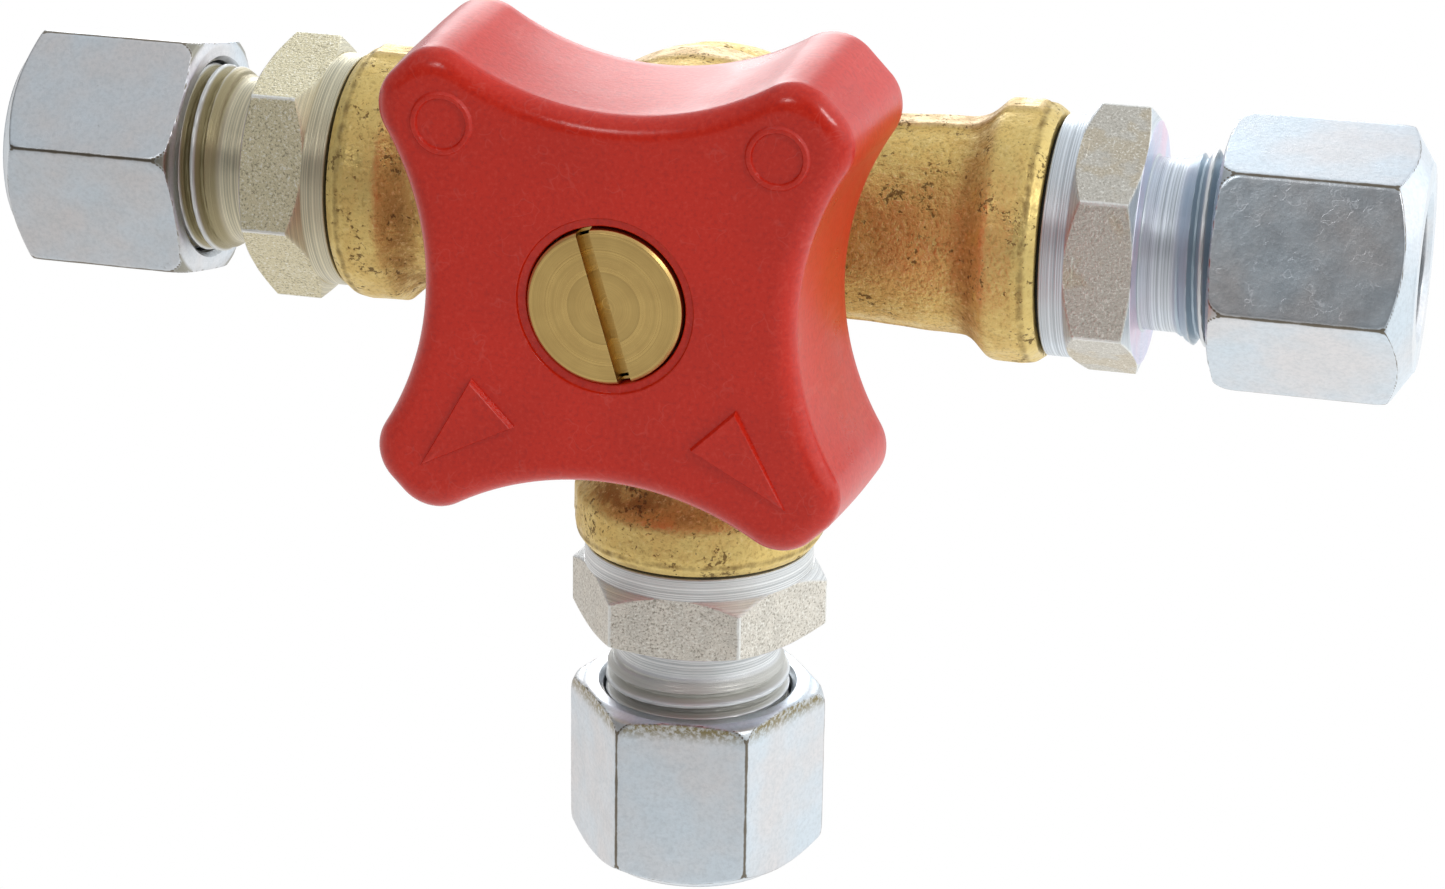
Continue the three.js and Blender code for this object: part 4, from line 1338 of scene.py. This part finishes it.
class VALVE_OT_inner(bpy.types.Operator):
    """Finish the inner pieces that keep their frame shape"""

    bl_idname = "valve.inner"
    bl_label = "Inner pieces"

    def execute(self, context):
        colour = tuple(context.scene.valve_handle.screw_colour)
        brass = finish("turned brass", turned_brass, "turned brass", colour, False)
        for material, nodes in (
                (brass, ("bonnet", "plug")),
                (plain("plain steel"), ("stop_pin", "handle_washer")),
                (plain("black rubber"), ("plug_seal_front", "plug_seal_rear", "stem_seal_inner",
                                         "stem_seal_outer")),
                (plain("white plastic"), ("thrust_washer", "seat_right", "seat_left",
                                          "seat_branch"))):
            for node in nodes:
                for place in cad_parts[node].material_slots:
                    place.material = material
        return {"FINISHED"}


class VALVE_OT_stage(bpy.types.Operator):
    """Set up the floor, the light and the camera"""

    bl_idname = "valve.stage"
    bl_label = "Stage"

    def execute(self, context):
        settings = context.scene.valve_stage
        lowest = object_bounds()[0].z - settings.floor_drop
        stage_floor(lowest, settings.brightness)
        stage_world(context.scene, settings.brightness)
        stage_lights(settings.brightness)
        stage_camera(context.scene, settings)
        context.scene.view_settings.view_transform = "Standard"
        return {"FINISHED"}


def stage_floor(height, brightness):
    """A pale floor, plain white to the camera.

    On the valve it throws less light from the front and the left than from behind and the right.
    """
    mesh = bpy.data.meshes.new("floor")
    reach = 6.0
    corners = [(x * reach, y * reach, height) for x, y in ((-1, -1), (1, -1), (1, 1), (-1, 1))]
    mesh.from_pydata(corners, [], [(0, 1, 2, 3)])
    floor = bpy.data.objects.new("floor", mesh)
    bpy.context.scene.collection.objects.link(floor)
    floor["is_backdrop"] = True
    material, tree, shader, where = new_material("pale floor", Roughness=0.9)
    parts = put(tree, "ShaderNodeSeparateXYZ", {"Vector": where}).outputs
    shade = rescale(tree, parts["Y"], -0.2, 0.06, 0.6, 1.0)
    shade = times(tree, shade, rescale(tree, parts["X"], -0.2, 0.15, 0.84, 1.2))
    warm = tint(tree, rescale(tree, parts["X"], -0.2, 0.2), (1.0, 0.985, 0.975),
                (0.965, 0.99, 1.0))
    seen = put(tree, "ShaderNodeLightPath").outputs["Is Camera Ray"]
    level = put(tree, "ShaderNodeMix", {0: seen, 2: shade, 3: 1.0}, data_type="FLOAT").outputs[0]
    colour = tint(tree, seen, warm, (1.0, 1.0, 1.0))
    glow = put(tree, "ShaderNodeEmission",
               {"Color": colour, "Strength": times(tree, level, brightness)})
    out = next(n for n in tree.nodes if n.type == "OUTPUT_MATERIAL")
    tree.links.new(glow.outputs[0], out.inputs["Surface"])
    mesh.materials.append(material)


def stage_world(scene, brightness):
    """Soft light from all round, plain white to the camera.

    It is dark in front, brighter behind and on the right, and a little blue.
    """
    world = bpy.data.worlds.new("studio")
    scene.world = world
    world.use_nodes = True
    tree = world.node_tree
    tree.nodes.clear()
    way = put(tree, "ShaderNodeTexCoord").outputs["Generated"]
    parts = put(tree, "ShaderNodeSeparateXYZ", {"Vector": way}).outputs
    across = plus(tree, times(tree, parts["Y"], 0.5), 0.5)
    ramp = put(tree, "ShaderNodeValToRGB", {"Fac": across})
    stops = ((0.04, 0.20, 0.21), (0.12, 0.24, 0.25), (0.30, 0.68, 0.70), (0.6, 0.76, 0.80),
             (0.78, 0.9, 0.96), (0.88, 0.98, 1.08))
    while len(ramp.color_ramp.elements) < len(stops):
        ramp.color_ramp.elements.new(0.5)
    for element, (place, warm, cool) in zip(ramp.color_ramp.elements, stops):
        element.position = place
        element.color = (warm, (warm + cool) / 2, cool, 1.0)
    side = times(tree, rescale(tree, parts["X"], 0.25, 0.9, 1.0, 1.8),
                rescale(tree, parts["X"], -0.9, -0.35, 0.5, 1.0))
    lift = put(tree, "ShaderNodeCombineXYZ", {"X": side, "Y": side, "Z": side}).outputs[0]
    colour = tint(tree, 1.0, ramp.outputs["Color"], lift, "MULTIPLY")
    seen = put(tree, "ShaderNodeLightPath").outputs["Is Camera Ray"]
    colour = tint(tree, seen, colour, (1.0, 1.0, 1.0))
    back = put(tree, "ShaderNodeBackground", {"Color": colour, "Strength": brightness})
    out = put(tree, "ShaderNodeOutputWorld")
    tree.links.new(back.outputs[0], out.inputs["Surface"])


def stage_lights(brightness):
    """Three soft boxes: small ones in front and high on the right, and a wide one low behind."""
    for name, place, size, power in (
            ("key softbox", (-0.21, -0.68, 0.55), 0.13, 0.55),
            ("side softbox", (0.63, -0.37, 0.53), 0.16, 1.0),
            ("back softbox", (-0.24, 0.86, 0.26), 0.42, 1.6)):
        light = bpy.data.lights.new(name, "AREA")
        light.size = size
        light.energy = power * brightness
        lamp = bpy.data.objects.new(name, light)
        lamp.location = place
        toward = Vector((0.0, 0.0, -0.02)) - Vector(place)
        lamp.rotation_mode = "QUATERNION"
        lamp.rotation_quaternion = toward.to_track_quat("-Z", "Y")
        bpy.context.scene.collection.objects.link(lamp)


def stage_camera(scene, settings):
    """The camera: back from its target by azimuth and elevation, then rolled."""
    a, e, r = settings.azimuth, settings.elevation, settings.roll
    back = Vector((math.sin(a) * math.cos(e), -math.cos(a) * math.cos(e), math.sin(e)))
    right = Vector((math.cos(a), math.sin(a), 0.0))
    up = back.cross(right)
    right, up = (right * math.cos(r) + up * math.sin(r), up * math.cos(r) - right * math.sin(r))
    data = bpy.data.cameras.new("camera")
    data.lens = settings.lens
    data.sensor_width = 36.0
    data.clip_start, data.clip_end = 0.01, 20.0
    camera = bpy.data.objects.new("camera", data)
    turn = Matrix((right, up, back)).transposed().to_4x4()
    place = Vector(settings.target) + back * settings.distance
    camera.matrix_world = Matrix.Translation(place) @ turn
    scene.collection.objects.link(camera)
    scene.camera = camera


class VALVE_PT_panel(bpy.types.Panel):
    """Sizes, colours and build buttons"""

    bl_idname = "VALVE_PT_panel"
    bl_label = "Three way valve"
    bl_space_type = "VIEW_3D"
    bl_region_type = "UI"
    bl_category = "Valve"

    def draw(self, context):
        layout = self.layout
        for group, operators in (
                ("valve_body", (VALVE_OT_body,)),
                ("valve_handle", (VALVE_OT_handle, VALVE_OT_screw)),
                ("valve_fitting", (VALVE_OT_couplings, VALVE_OT_nuts)),
                ("valve_stage", (VALVE_OT_inner, VALVE_OT_stage))):
            settings = getattr(context.scene, group)
            box = layout.box()
            for name in settings.__annotations__:
                box.prop(settings, name)
            for operator in operators:
                box.operator(operator.bl_idname)


CLASSES = (
    ValveBodySettings, ValveHandleSettings, ValveFittingSettings, ValveStageSettings,
    VALVE_OT_body, VALVE_OT_handle, VALVE_OT_screw, VALVE_OT_couplings, VALVE_OT_nuts,
    VALVE_OT_inner, VALVE_OT_stage, VALVE_PT_panel,
)
GROUPS = {"valve_body": ValveBodySettings, "valve_handle": ValveHandleSettings,
          "valve_fitting": ValveFittingSettings, "valve_stage": ValveStageSettings}


def register():
    """Registers the classes and hangs their settings on the scene."""
    for item in CLASSES:
        bpy.utils.register_class(item)
    for name, group in GROUPS.items():
        setattr(bpy.types.Scene, name, bpy.props.PointerProperty(type=group))


def unregister():
    """Takes away what register added."""
    for name in GROUPS:
        delattr(bpy.types.Scene, name)
    for item in reversed(CLASSES):
        bpy.utils.unregister_class(item)


def main():
    """Builds every piece and the stage."""
    register()
    bpy.ops.valve.body()
    bpy.ops.valve.handle()
    bpy.ops.valve.screw()
    bpy.ops.valve.couplings()
    bpy.ops.valve.nuts()
    bpy.ops.valve.inner()
    bpy.ops.valve.stage()


if __name__ == "__main__":
    main()
